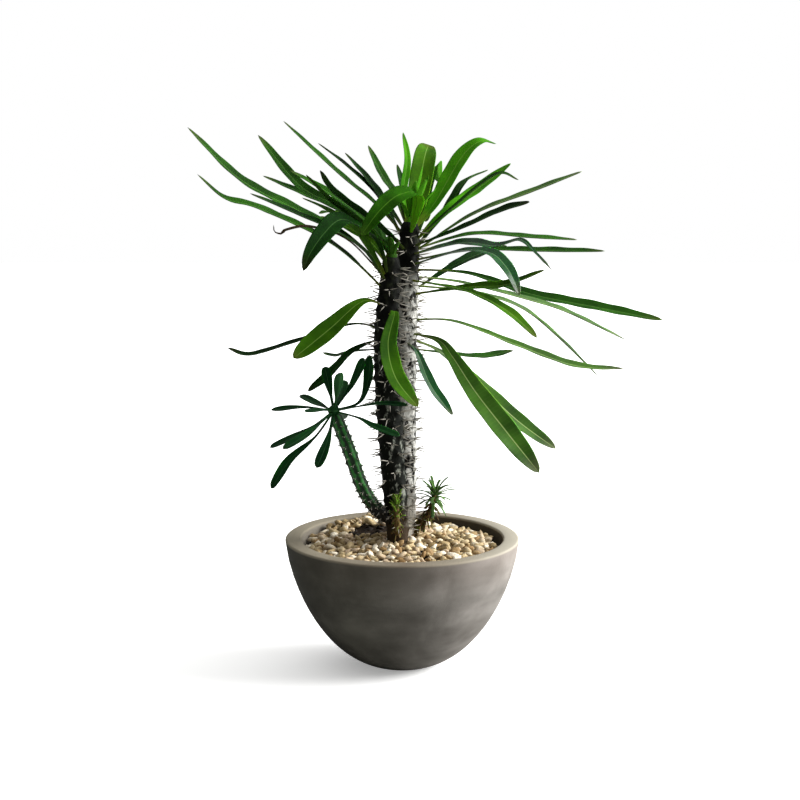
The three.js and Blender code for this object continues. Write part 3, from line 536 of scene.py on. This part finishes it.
# Each leaf: its skin, by age and by painted light and shade, the height of its foot, its greatest
# width, its form, how many degrees its top leans to the front, and the points of its midrib out to
# the tip.
TALL_LEAVES = [
    ("deep", 576, 24, FULL, 15, (-85, 70, 624), (-141, 100, 652), (-200, 120, 720)),
    ("deep", 560, 22, FULL, 5, (-72, 80, 612), (-143, 130, 641), (-197, 160, 662)),
    ("deep", 586, 20, FULL, -10, (-37, 60, 630), (-86, 100, 668), (-166, 140, 739)),
    ("old", 572, 18, FULL, -20, (-31, 90, 635), (-77, 150, 677), (-120, 190, 707)),
    ("old", 590, 20, FULL, -20, (-24, 70, 632), (-50, 135, 662), (-81, 170, 694)),
    ("deep", 594, 18, FULL, -20, (-8, 60, 638), (-27, 130, 664), (-48, 180, 704)),
    ("old", 582, 12, FULL, -20, (8, 80, 620), (0, 150, 652), (-7, 210, 676)),
    ("new", 596, 12, FULL, -20, (2, 38, 645), (7, 48, 688), (1, 50, 725)),
    ("old", 568, 20, FULL, 5, (-32, -50, 608), (-85, -130, 655), (-102, -160, 683)),
    ("deep", 556, 20, FULL, 15, (-56, 26, 615), (-104, 42, 648), (-152, 50, 674)),
    ("arched", 588, 26, FULL, 30, (20, -42, 645), (-3, -90, 650), (-28, -130, 632),
     (-53, -158, 600)),
    ("grown", 597, 32, BROAD, 22, (21, 58, 640), (31, 98, 690), (37, 142, 706)),
    ("new", 594, 26, FULL, 20, (44, 40, 632), (80, 80, 690), (106, 95, 712), (130, 105, 708)),
    ("new", 586, 22, FULL, -35, (30, 80, 624), (46, 150, 676), (54, 230, 650)),
    ("deep", 562, 22, FULL, -20, (60, 85, 618), (88, 140, 656), (123, 190, 669)),
    ("new", 577, 22, FULL, 15, (60, 40, 620), (107, 90, 650), (151, 120, 681)),
    ("deep", 580, 14, FULL, 18, (72, 0, 632), (124, -10, 672), (154, -15, 664)),
    ("bloomed", 566, 20, NARROW, 10, (94, 10, 618), (172, 30, 647), (243, 45, 673)),
    ("old", 574, 24, NARROW, 30, (77, -70, 606), (123, -120, 631), (159, -150, 643)),
    ("deep", 570, 22, NARROW, 12, (96, 60, 588), (177, 100, 581), (246, 130, 574)),
    ("deep", 556, 24, NARROW, 10, (93, -20, 573), (180, -50, 575), (263, -70, 575)),
    ("shiny", 564, 22, WITHERED, 20, (75, -60, 586), (118, -110, 586), (148, -132, 595),
     (167, -150, 580), (188, -165, 558)),
    ("shiny", 550, 22, NARROW, 12, (75, -55, 575), (113, -88, 575), (131, -107, 561),
     (142, -117, 543), (149, -123, 523)),
    ("grown", 510, 22, NARROW, 25, (89, -50, 527), (132, -90, 534), (181, -120, 555)),
    ("deep", 544, 26, NARROW, 20, (90, -18, 541), (168, -40, 517), (258, -62, 501),
     (339, -80, 486)),
    ("bloomed", 534, 24, NARROW, 18, (80, 70, 521), (181, 130, 490), (240, 160, 468),
     (325, 190, 424)),
    ("grown", 530, 22, NARROW, 0, (80, -100, 528), (125, -150, 512), (152, -175, 492),
     (167, -190, 477)),
    ("bloomed", 522, 20, NARROW, 20, (92, 40, 511), (163, 80, 486), (220, 110, 440),
     (279, 130, 380)),
    ("bloomed", 476, 24, NARROW, 10, (71, 0, 475), (157, -30, 446), (228, -50, 423),
     (292, -60, 419)),
    ("bloomed", 458, 32, NARROW, 35, (48, -20, 452), (66, -45, 434), (96, -80, 392),
     (134, -108, 346), (177, -125, 293)),
    ("bloomed", 450, 26, NARROW, 45, (54, 24, 429), (109, 32, 380), (159, 22, 335), (210, 12, 298)),
    ("deep", 436, 20, NARROW, 15, (52, 60, 425), (111, 130, 409), (161, 190, 409)),
    ("shiny", 446, 24, NARROW, -20, (20, -30, 437), (37, -70, 401), (65, -100, 364)),
    ("grown", 564, 26, FULL, 0, (20, 100, 600), (30, 190, 615), (35, 260, 590)),
    ("grown", 540, 26, FULL, 0, (-40, 100, 585), (-95, 170, 610), (-120, 220, 605)),
    ("old", 512, 24, NARROW, 10, (76, 90, 544), (117, 150, 556), (150, 205, 560)),
]
SHORT_LEAVES = [
    ("deep", 545, 26, FULL, 22, (-70, -38, 590), (-134, -45, 626), (-210, -55, 668),
     (-277, -60, 734)),
    ("deep", 520, 24, FULL, 20, (-91, -50, 584), (-182, -90, 632), (-226, -102, 646),
     (-260, -110, 676)),
    ("old", 530, 22, FULL, 25, (-60, -90, 590), (-128, -150, 628), (-187, -190, 656)),
    ("deep", 554, 22, FULL, 10, (-45, -48, 603), (-90, -96, 641), (-122, -120, 676)),
    ("grown", 534, 25, FULL, 10, (-58, -66, 600), (-97, -112, 633), (-126, -140, 648)),
    ("dry", 534, 8, NARROW, 15, (-70, -60, 589), (-118, -84, 608), (-148, -100, 605),
     (-154, -103, 600), (-163, -104, 603), (-164, -104, 612)),
    ("old", 538, 28, FULL, 32, (-34, -68, 591), (-61, -110, 615), (-79, -142, 621),
     (-97, -168, 606), (-114, -190, 582), (-122, -198, 561)),
    ("grown", 550, 22, FULL, 10, (-40, 8, 579), (-74, 34, 599), (-112, 52, 612)),
    ("grown", 500, 28, NARROW, 40, (-53, -50, 507), (-94, -85, 476), (-140, -115, 441)),
    ("old", 468, 18, NARROW, 15, (-70, 0, 471), (-152, 20, 443), (-208, 30, 426),
     (-239, 35, 434)),
    ("old", 455, 20, NARROW, 55, (-68, 10, 433), (-99, 40, 398), (-131, 60, 370)),
    ("old", 440, 16, NARROW, 5, (-72, 60, 426), (-95, 110, 413), (-113, 140, 413)),
    ("grown", 486, 29, NARROW, -10, (-10, -66, 494), (-18, -95, 456), (-8, -120, 417),
     (20, -135, 381)),
]


def blade_half(share, width, form):
    """Half the width of a blade at shares of its length."""
    swell, taper = form
    peak = swell / (swell + taper)
    shape = share ** swell * (1 - share) ** taper / (peak ** swell * (1 - peak) ** taper)
    stalk = PETIOLE_WIDTH * np.clip((1 - share) / 0.06, 0, 1)
    return np.maximum(stalk, width * shape) / 2


def blade_line(path):
    """Centres and directions at even steps of a midrib."""
    line = smooth_line(path)
    length = np.concatenate([[0], np.linalg.norm(np.diff(line, axis=0), axis=1).cumsum()])
    even = read_off(np.linspace(0, length[-1], 201), length, line)
    return even, unit(np.gradient(even, axis=0)), length[-1]


def blade(name, path, width, form, lean, rows=20, columns=56, thick=1.0):
    """A leaf: a folded blade with a keel under its midrib, closed at both ends."""
    line, slopes, length = blade_line(path)
    heading = unit((line[-1] - line[0]) * (1, 1, 0))
    level = np.cross(heading, (0, 0, 1))
    turn = math.radians(lean if level[1] >= 0 else -lean)
    phase = sum(path[-1]) * 0.05

    def place(share, around):
        steps = np.linspace(0, 1, len(line))
        centre = read_off(share, steps, line)
        along = unit(read_off(share, steps, slopes))
        flat = unit(level - along * (along @ level)[:, None])
        upward = np.cross(flat, along)
        side = flat * math.cos(turn) + upward * math.sin(turn)
        normal = np.cross(side, along)
        aside = -np.cos(math.tau * around)
        aside *= np.abs(aside) ** 0.7                  # more of the mesh along the midrib
        top = np.where(around < 0.5, 1, -1)
        ends = np.sqrt(np.clip(share / 0.004, 0, 1) * np.clip((1 - share) / 0.015, 0, 1))
        half = np.maximum(blade_half(np.clip(share, 0, 1), width, form), 0.25) * ends
        fold = half * BLADE_FOLD * (2 * np.abs(aside) ** 1.4 - 1)
        ripple = 0.04 * half * np.abs(aside) ** 2 * np.sin(
            share * length / 7 + phase + 2 * np.sign(aside))
        body = 0.18 + 0.3 * (1 - aside ** 2)
        keel = np.where(top < 0, 0.9, -0.15) * np.exp(-(aside * np.maximum(half, 1.5) / 1.6) ** 2)
        keel *= np.clip((1 - share) / 0.2, 0, 1)
        stalk = 1.1 * np.exp(-share / 0.08) * (1 - np.abs(aside))
        depth = thick * (body + keel + stalk) * ends * (np.abs(aside) < 0.999)
        return centre + side * (aside * half)[:, None] + normal * (
            fold + ripple + top * depth)[:, None]

    return rolled_skin(name, columns, rows, place)


def leaf_skin(name, dark, light, rib, stalk, under, tip, rough, wax=0.03, coat=0):
    """The living skin of a leaf: two greens in soft patches, a midrib and veins, a paler back."""
    material = bare_material(name)
    spot = add_node(material, "TexCoord", {}).node.outputs["Object"]
    shares = add_node(material, "SeparateXYZ", {"Vector": add_node(
        material, "UVMap", {}, uv_map="UVMap")}).node.outputs
    share, around = shares["X"], shares["Y"]
    turn = add_node(material, "Math", {
        "Value": around, "Value_001": math.tau}, operation="MULTIPLY")
    aside = add_node(material, "Math", {"Value": add_node(
        material, "Math", {"Value": turn}, operation="COSINE")}, operation="ABSOLUTE")
    patches = add_node(material, "TexNoise", {
        "Vector": spot, "Scale": 1 / (45.5 * MM), "Detail": 4})
    green = add_node(material, "ValToRGB", {"Fac": patches}, stops=[(0.35, dark), (0.65, light)])
    back = add_node(material, "Math", {
        "Value": around, "Value_001": 0.5}, operation="GREATER_THAN")
    back = add_node(material, "Math", {"Value": back, "Value_001": 0.75}, operation="MULTIPLY")
    # Side veins leave the midrib every 3 to 5 mm and slant towards the tip.
    slant = add_node(material, "Math", {"Value": aside, "Value_001": -1.6}, operation="MULTIPLY")
    count = add_node(material, "Math", {
        "Value": share, "Value_001": 330, "Value_002": slant}, operation="MULTIPLY_ADD")
    waves = add_node(material, "Math", {"Value": count}, operation="SINE")
    veins = add_node(material, "MapRange", {
        "Value": waves, "From Min": 0.75, "From Max": 1, "To Max": 0.03})
    midrib = add_node(material, "MapRange", {
        "Value": aside, "From Min": 0.04, "From Max": 0.15, "To Min": 0.75, "To Max": 0})
    foot, end = (add_node(material, "MapRange", {
        "Value": share, "From Min": low, "From Max": high, "To Max": 0.8})
        for low, high in ((0.2, 0.03), (0.9, 1.02)))
    for area, colour in ((back, under), (veins, rib), (midrib, rib), (foot, stalk), (end, tip)):
        green = add_node(material, "Mix", {
            "Factor_Float": area, "A_Color": green, "B_Color": linear(colour)}, data_type="RGBA")
    # Some of the light goes through the thin blade.
    add_node(material, "OutputMaterial", {"Surface": add_node(material, "BsdfPrincipled", {
        "Base Color": green, "Roughness": rough, "IOR": 1.38, "Specular IOR Level": wax,
        "Subsurface Weight": 0.35, "Subsurface Radius": (0.5, 1, 0.2), "Subsurface Scale": 0.0015,
        "Coat Weight": coat, "Coat Roughness": 0.2})})
    return material


# Leaf skin with its wax, by age and as painted light and shade: blackish green, deep green, one
# with a bright back painted as light shining through, mid green, the same under a bloom of wax, sap
# green, a thickly waxed dark green that shines white, and dried brown.
LEAF_SKINS = {
    "old": leaf_skin(
        "waxy_leaf_old", "#081f05", "#12330b", "#36552a", "#4a5426", "#1e3c14", "#2b2d16", 0.6),
    "deep": leaf_skin(
        "waxy_leaf_deep_green", "#122f08", "#1f480b", "#4c7232", "#62642a", "#305617", "#3d4320",
        0.6),
    # Its bright back is painted light, as if shining through the blade.
    "arched": leaf_skin(
        "waxy_leaf_lit_through", "#102c02", "#1c4604", "#3a5f18", "#5c8a1c", "#66b41a", "#26330f",
        0.7, 0.01),
    "grown": leaf_skin(
        "waxy_leaf_grown", "#1e3f05", "#355e08", "#68883a", "#6f6c28", "#3a6418", "#4a4a20", 0.6),
    "bloomed": leaf_skin(
        "waxy_leaf_with_bloom", "#234409", "#3b6415", "#9db36c", "#5f6830", "#486826", "#5c5a44",
        0.5, 0.17),
    "new": leaf_skin(
        "waxy_leaf_new", "#2d6808", "#42860e", "#6c9a3a", "#9aa43c", "#3f7c14", "#2c4a12", 0.6),
    "shiny": leaf_skin(
        "thick_waxed_leaf", "#0a2e12", "#174a20", "#6a8a60", "#5a6230", "#244a20", "#4a4a34", 0.3,
        0.03, 0.2),
    "dry": leaf_skin(
        "dried_leaf", "#241c10", "#382c1a", "#4a3d28", "#4a3d28", "#382c1a", "#241c10", 0.7),
}
blade_rows = []
# Each leaf's skin stands for its age and also for painted light and shade.
for prefix, stem, rows in (("tall", TALL_STEM, TALL_LEAVES), ("short", SHORT_STEM, SHORT_LEAVES)):
    for number, (skin_key, foot, width, form, lean, *path) in enumerate(rows, 1):
        centre, radius, *_ = section(stem, share_at(stem, foot))
        outward = unit((np.array(path[0]) - centre) * (1, 1, 0))
        path = [tuple(centre + outward * (1 - PETIOLE_DEPTH) * radius), *path]
        leaf = blade(f"{prefix}_blade_{number:02d}", path, width, form, lean)
        leaf.data.materials.append(LEAF_SKINS[skin_key])
        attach(leaf, "root")
        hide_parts(f"{prefix}_leaf_{number:02d}")
        blade_rows.append((path, width, form))

# ------------------------------------------------ growing tips
# Young leaves stand close together round the bud at the top of each stem, bright green on the
# taller one and deep green on the shorter one as painted shade. The oldest of them are next to bend
# outwards.

# Each: the way it leans, counted from +X towards +Y, how far it leans, its length and its width.
TALL_HEART = [
    (350, 10, 80, 18), (20, 20, 70, 17), (320, 22, 66, 17), (300, 12, 60, 16), (0, 34, 60, 15),
    (200, 10, 50, 9), (170, 25, 38, 8), (225, 30, 34, 8)]
SHORT_HEART = [
    (186, 38, 62, 12), (150, 28, 50, 11), (170, 48, 44, 11), (262, 40, 40, 10), (300, 35, 30, 9),
    (110, 30, 34, 9)]

for name, stem, rows, node, skin_key in (
        ("tall_tip", TALL_STEM, TALL_HEART, "tall_heart", "new"),
        # The shorter stem's young leaves take the deep green as painted shade.
        ("short_tip", SHORT_STEM, SHORT_HEART, "short_heart", "deep")):
    centre, radius, along, across, right = section(stem, 1)
    start = centre + along * radius / 2
    young = []
    for azimuth, tilt, length, width in rows:
        way, tilt = math.radians(azimuth), math.radians(tilt)
        outward = right * math.cos(way) + across * math.sin(way)
        path = [tuple(start + along * part * length * math.cos(tilt * part)
                      + outward * part * length * math.sin(tilt)) for part in (0, 0.5, 1)]
        young.append(blade("young_leaf", path, width, FULL, 0, rows=14, columns=24, thick=0.8))
        blade_rows.append((path, width, FULL))
    bpy.ops.object.select_all(action="DESELECT")
    bpy.ops.mesh.primitive_cone_add(
        vertices=16, radius1=9 * MM, radius2=2 * MM, depth=20 * MM,
        location=(start + along * 10) * MM,
        rotation=Vector(along).to_track_quat("Z", "Y").to_euler())
    bud = bpy.context.object
    bpy.ops.object.transform_apply(location=True, rotation=True)
    bpy.ops.object.mode_set(mode="EDIT")
    bpy.ops.mesh.bevel(offset=1.5 * MM, segments=3)
    bpy.ops.object.mode_set(mode="OBJECT")
    bpy.ops.object.shade_smooth()
    tip = joined(name, [*young, bud])
    tip.data.materials.append(LEAF_SKINS[skin_key])
    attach(tip, "root")
    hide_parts(node)

# ------------------------------------------------ young shoot
# A green side shoot, still soft, that leans away from the foot of the stems. Its ribs carry a
# saw edge of small tubercles, and a crown of narrow dark leaves stands on its bud.

SHOOT_STEM = {
    "points": [(-10, -24, 204), (-28, -33, 218), (-42, -36, 234), (-56, -37, 261), (-72, -38, 308),
               (-87, -38, 348)],
    "radii": [7, 8.5, 8.5, 8.5, 8.5, 8], "lowest": 213, "tubercles": 105, "bump": (1.5, 2.4),
    "ribs": 6}
# Each leaf: its width, its lean and its points.
SHOOT_LEAVES = [
    (13, 25, (-131, -20, 361), (-177, -10, 356)), (13, 15, (-106, -70, 366), (-127, -90, 367)),
    (15, 15, (-122, -60, 340), (-174, -80, 317)), (14, 15, (-120, -95, 342), (-154, -125, 324)),
    (18, 60, (-117, -30, 322), (-152, -15, 288), (-179, -5, 246)),
    (14, 15, (-98, -75, 327), (-112, -95, 293)), (14, 15, (-97, -20, 384), (-104, -10, 415)),
    (15, 15, (-85, -60, 391), (-82, -70, 416)), (17, 60, (-67, -50, 396), (-50, -55, 433)),
    (17, 60, (-58, -36, 370), (-46, -44, 400), (-43, -46, 435)),
    (16, 15, (-58, -62, 354), (-36, -72, 344), (-3, -80, 333)),
    (14, 15, (-49, -62, 371), (-23, -72, 375), (8, -76, 373)),
    (14, 15, (-84, 10, 373), (-79, 50, 387)), (14, 15, (-113, 30, 356), (-142, 70, 363)),
    (14, 15, (-80, 20, 345), (-88, 60, 330))]

# Young bark: a thin living skin, green along the ribs and nearly black between them; its foot is
# nearly black as painted shade.
green_bark = bare_material("living_green_bark")
spot = add_node(green_bark, "TexCoord", {}).node.outputs["Object"]
around = add_node(green_bark, "SeparateXYZ", {"Vector": add_node(
    green_bark, "UVMap", {}, uv_map="UVMap")}).node.outputs["Y"]
ribs = add_node(green_bark, "Math", {"Value": add_node(green_bark, "Math", {
    "Value": around, "Value_001": math.tau * SHOOT_STEM["ribs"]}, operation="MULTIPLY")},
    operation="COSINE")
blots = add_node(green_bark, "TexNoise", {
    "Vector": spot, "Scale": 1 / (11.1 * MM), "Detail": 3})
striped = add_node(green_bark, "Math", {
    "Value": ribs, "Value_001": 0.16, "Value_002": blots}, operation="MULTIPLY_ADD")
skin = add_node(green_bark, "ValToRGB", {"Fac": striped}, stops=[
    (0.42, "#1a2c1a"), (0.68, "#2f7230")])
level = add_node(green_bark, "SeparateXYZ", {"Vector": spot}).node.outputs["Z"]
# Painted shade: the foot of the shoot turns nearly black.
low = add_node(green_bark, "MapRange", {"Value": level, "From Min": 0.25, "From Max": 0.225})
skin = add_node(green_bark, "Mix", {
    "Factor_Float": low, "A_Color": skin, "B_Color": linear("#0d0c08")}, data_type="RGBA")
relief = add_node(green_bark, "Bump", {"Height": blots, "Strength": 0.4, "Distance": 0.001})
add_node(green_bark, "OutputMaterial", {"Surface": add_node(green_bark, "BsdfPrincipled", {
    "Base Color": skin, "Roughness": 0.5, "IOR": 1.45, "Specular IOR Level": 0.2,
    "Normal": relief})})
trunk = stem_skin("shoot_bark", SHOOT_STEM, 13, rows=48, columns=190)
trunk.data.materials.append(green_bark)
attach(trunk, "root")
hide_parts("shoot_stem")

centre, radius, along, *_ = section(SHOOT_STEM, 1)
bud_middle = centre + along * (radius + 4)
young = []
for width, lean, *path in SHOOT_LEAVES:
    path = [tuple(bud_middle), *path]
    young.append(blade("young_leaf", path, width, SPOON, lean, rows=14, columns=36, thick=0.8))
    blade_rows.append((path, width, SPOON))
bpy.ops.object.select_all(action="DESELECT")
bpy.ops.mesh.primitive_ico_sphere_add(subdivisions=3, radius=8 * MM, location=bud_middle * MM)
bud = bpy.context.object
bpy.ops.object.transform_apply(location=True)
bpy.ops.object.mode_set(mode="EDIT")
bpy.ops.transform.vertex_random(offset=0.6 * MM, seed=4)
bpy.ops.object.mode_set(mode="OBJECT")
bpy.ops.object.shade_smooth()
crown = joined("shoot_leaves", [*young, bud])
# The shoot's leaves have a thin waxy skin, cool and dark, with a green midrib.
crown.data.materials.append(leaf_skin(
    "waxy_leaf_of_young_shoot", "#0a2312", "#173f1c", "#39603a", "#1f4420", "#29502b", "#132c14",
    0.4))
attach(crown, "root")
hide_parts("shoot_crown")

# ------------------------------------------------ offsets
# Two small plants at the foot of the stems, each a thin stalk with narrow leaves all round its
# top. Withered brown leaves hang below them and hide the stalk.

# "leaf" is the length and width of their leaves, "start" the share of the stalk at which they
# begin, and "rises" how steeply the lowest and the highest point upward.
SIDE_SPROUT = {"points": [(8, 16, 186), (24, 10, 194), (38, 7, 212), (45, 5, 238)],
               "radii": [5, 4.5, 4, 3.5], "leaves": 40, "leaf": (31, 2.4), "start": 0.88,
               "rises": (-0.7, 1.6), "withered": 44}
FRONT_SPROUT = {"points": [(-6, -26, 188), (-7, -41, 200), (-8, -43, 236)],
                "radii": [5, 4, 3.5], "leaves": 22, "leaf": (22, 3.4), "start": 0.66,
                "rises": (0.6, 2.6), "withered": 26}
OFFSET_ARCH, OFFSET_DROOP = 1.5, 2.5      # how far a leaf's middle rises and its tip sinks

# Their skin is soft and dull: grey-green with pale tips on the one, yellow-green on the other,
# and brown and papery where it has withered.
side_skin = leaf_skin(
    "soft_leaf_of_side_offset", "#2c3f22", "#54743f", "#68824e", "#34461f", "#50703e", "#a3a899",
    0.5)
front_skin = leaf_skin(
    "soft_leaf_of_front_offset", "#33540f", "#5c7a22", "#808c44", "#4e5824", "#536428", "#8a8a50",
    0.5)
withered_skin = leaf_skin(
    "withered_leaf_of_offset", "#3a2e1b", "#74633f", "#83734c", "#3a2e1b", "#5e4e30", "#8a7e5e",
    0.8)
for name, sprout, seed, node, finish in (
        ("side_offset", SIDE_SPROUT, 21, "side_sprout", side_skin),
        ("front_offset", FRONT_SPROUT, 22, "front_sprout", front_skin)):
    draw = random.Random(seed)

    def stalk_place(along_share, round_share, sprout=sprout):
        centre, radius, along, across, right = stem_frame(sprout, along_share)
        angle = math.tau * round_share[:, None]
        ends = np.sqrt(np.clip(along_share / 0.05, 0, 1) * np.clip((1 - along_share) / 0.1, 0, 1))
        return centre + (right * np.cos(angle) + across * np.sin(angle)) * (radius * ends)[:, None]

    reach, width = sprout["leaf"]
    for part, skin, count, shares, rises, length_share in (
            ("leaves", finish, sprout["leaves"], (sprout["start"], 1), sprout["rises"], 1),
            ("withered", withered_skin, sprout["withered"], (0.2, 0.85), (-1.4, -0.2), 0.55)):
        parts = [] if part == "leaves" else [rolled_skin("stalk", 24, 12, stalk_place)]
        for i in range(count):
            share = shares[0] + (shares[1] - shares[0]) * (i + 0.5) / count
            centre, _, along, across, right = section(sprout, share)
            angle = i * GOLDEN_ANGLE
            lift = rises[0] + (rises[1] - rises[0]) * i / count + draw.uniform(-0.15, 0.15)
            way = unit(right * math.cos(angle) + across * math.sin(angle) + along * lift)
            length = reach * length_share * draw.uniform(0.65, 1.1)
            path = [tuple(centre), tuple(centre + way * length * 0.55 + (0, 0, OFFSET_ARCH)),
                    tuple(centre + way * length - (0, 0, OFFSET_DROOP))]
            parts.append(
                blade("offset_leaf", path, width, BROAD, 0, rows=8, columns=12, thick=0.5))
        plant = joined(f"{name}_{part}", parts)
        plant.data.materials.append(skin)
        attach(plant, "root")
        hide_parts(node)

# ------------------------------------------------ spines
# Three hard spines stand on each tubercle, short ones on the green shoot. They keep clear of the
# leaves and the other stem.

# Old spines are horny: ash grey, a little glossy, dark towards the point.
horn = bare_material("weathered_horny_spines")
shade = add_node(horn, "Attribute", {}, attribute_name="height").node.outputs["Fac"]
ivory = add_node(horn, "ValToRGB", {"Fac": shade}, stops=[
    (0, "#6f695d"), (1, "#3c352b"), (0.25, "#aca79c"), (0.75, "#8f897d")])
add_node(horn, "OutputMaterial", {"Surface": add_node(horn, "BsdfPrincipled", {
    "Base Color": ivory, "Roughness": 0.45})})
bpy.ops.object.select_all(action="DESELECT")
bpy.ops.mesh.primitive_cone_add(
    vertices=6, radius1=1, radius2=0.06, depth=1, location=(0, 0, 0.5))
thorn = bpy.context.object
bpy.ops.object.transform_apply(location=True)
bpy.ops.object.mode_set(mode="EDIT")
bpy.ops.mesh.subdivide(number_cuts=1)
bpy.ops.object.mode_set(mode="OBJECT")
bpy.ops.object.shade_smooth()
for corner in thorn.data.vertices:
    if 0.3 < corner.co.z < 0.7:           # the ring at half its height, which keeps it stout
        corner.co.xy *= 1.5
shades = thorn.data.attributes.new("height", "FLOAT", "POINT").data
shades.foreach_set("value", [corner.co.z for corner in thorn.data.vertices])

room = [(blade_line(path)[0][::4], blade_half(np.linspace(0, 1, 51), width, form) + 1.5)
        for path, width, form in blade_rows]
for stem in (TALL_STEM, SHORT_STEM, SHOOT_STEM):
    line, radius, *_ = stem_frame(stem, np.linspace(0, 1, 81))
    stem["room"] = (line, radius + stem["bump"][0] + 1)
for name, stem, seed, node, slot, size, thick in (
        ("tall_stem_spines", TALL_STEM, 11, "tall_stem", "tall_bark", 18.5, 0.85),
        ("short_stem_spines", SHORT_STEM, 12, "short_stem", "short_bark", 18.5, 0.85),
        ("shoot_spines", SHOOT_STEM, 13, "shoot_stem", "shoot_bark", 5, 0.6)):
    others = [s["room"] for s in (TALL_STEM, SHORT_STEM, SHOOT_STEM) if s is not stem]
    spots = np.vstack([at for at, _ in room + others])
    reach = np.concatenate([wide for _, wide in room + others])
    places, draw = tubercle_places(stem, seed)
    spines = []
    for share, angle in places:
        centre, radius, along, across, right = section(stem, share)
        outward = right * math.cos(angle) + across * math.sin(angle)
        sideways = np.cross(along, outward)
        foot = centre + outward * (radius - 1)
        for aside, upward in ((-0.55, 0.2), (0.55, 0.2), (0, -0.25)):
            way = unit(outward + sideways * (aside + draw.uniform(-0.15, 0.15))
                       + along * (upward + draw.uniform(-0.2, 0.2)))
            length = size * draw.uniform(0.75, 1.15) + 1 + stem["bump"][0]
            marks = foot + way * np.array([[0.35], [0.6], [1]]) * length
            gaps = np.linalg.norm(marks[:, None] - spots[None], axis=2) - reach
            if gaps.min() > 0:
                spine = thorn.copy()
                spine.data = thorn.data.copy()
                spine.data.transform(
                    Matrix.Translation(Vector(foot) * MM)
                    @ Vector(way).to_track_quat("Z", "Y").to_matrix().to_4x4()
                    @ Matrix.Diagonal((thick * MM, thick * MM, length * MM, 1)))
                bpy.context.collection.objects.link(spine)
                spines.append(spine)
    spines = joined(name, spines)
    spines.data.materials.append(horn)
    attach(spines, "root")
    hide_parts(node)
bpy.data.objects.remove(thorn)

# ------------------------------------------------ studio
# A plain white floor of matt paper in a white room, with large soft windows at the right and
# behind it. None of it is part of the plant.

# The paper is seen a little brighter than it lights the bowl, which keeps its shadows soft.
paper = bare_material("matt_white_paper")
seen = add_node(paper, "LightPath", {}).node.outputs["Is Camera Ray"]
add_node(paper, "OutputMaterial", {"Surface": add_node(paper, "MixShader", {
    "Fac": seen, "Shader": add_node(paper, "BsdfDiffuse", {"Color": linear("#a8a8a6")}),
    "Shader_001": add_node(paper, "BsdfPrincipled", {
        "Base Color": linear("#fbfbfa"), "Roughness": 0.95, "Specular IOR Level": 0.1,
        "Emission Color": linear("#fbfbfa"), "Emission Strength": 0.35})})})
bpy.ops.object.select_all(action="DESELECT")
bpy.ops.mesh.primitive_plane_add(size=12, location=(0, 0, 0))
floor = bpy.context.object
floor.name = "floor"
floor.data.materials.append(paper)
floor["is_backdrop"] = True

# The ceiling glows, most above the right window. The dark walls are seen as white.
world = bpy.data.worlds.new("studio")
bpy.context.scene.world = world
world.use_nodes = True
world.node_tree.nodes.clear()
above = add_node(world, "VectorMath", {"Vector": add_node(
    world, "TexCoord", {}).node.outputs["Generated"], "Vector_001": (0.3, 0.1, 0.95)},
    operation="DOT_PRODUCT").node.outputs["Value"]
glow = add_node(world, "MapRange", {
    "Value": above, "From Min": 0.1, "From Max": 1, "To Min": 0.02, "To Max": 1.6})
ceiling = add_node(world, "Background", {"Strength": glow})
wall = add_node(world, "Background", {"Color": (1, 1, 1, 1), "Strength": 1})
seen = add_node(world, "LightPath", {}).node.outputs["Is Camera Ray"]
add_node(world, "OutputWorld", {"Surface": add_node(world, "MixShader", {
    "Fac": seen, "Shader": ceiling, "Shader_001": wall})})
for name, towards, spread, power in (
        ("window_right", (0.9, 0.05, 0.43), 40, 7.5), ("window_back", (0.72, 0.62, 0.3), 50, 1)):
    bpy.ops.object.light_add(type="SUN", location=towards)
    lamp = bpy.context.object
    lamp.name = name
    lamp.data.angle = math.radians(spread)
    lamp.data.energy = power
    lamp.rotation_euler = Vector(towards).to_track_quat("Z", "Y").to_euler()

bpy.ops.object.camera_add(
    location=(-0.003, -2.45, 0.7775), rotation=(math.radians(90 - 9.5), 0, 0))
camera = bpy.context.object
camera.data.lens = 82.62
camera.data.sensor_width = 36
bpy.context.scene.camera = camera
bpy.context.scene.view_settings.view_transform = "Standard"

low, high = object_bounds()
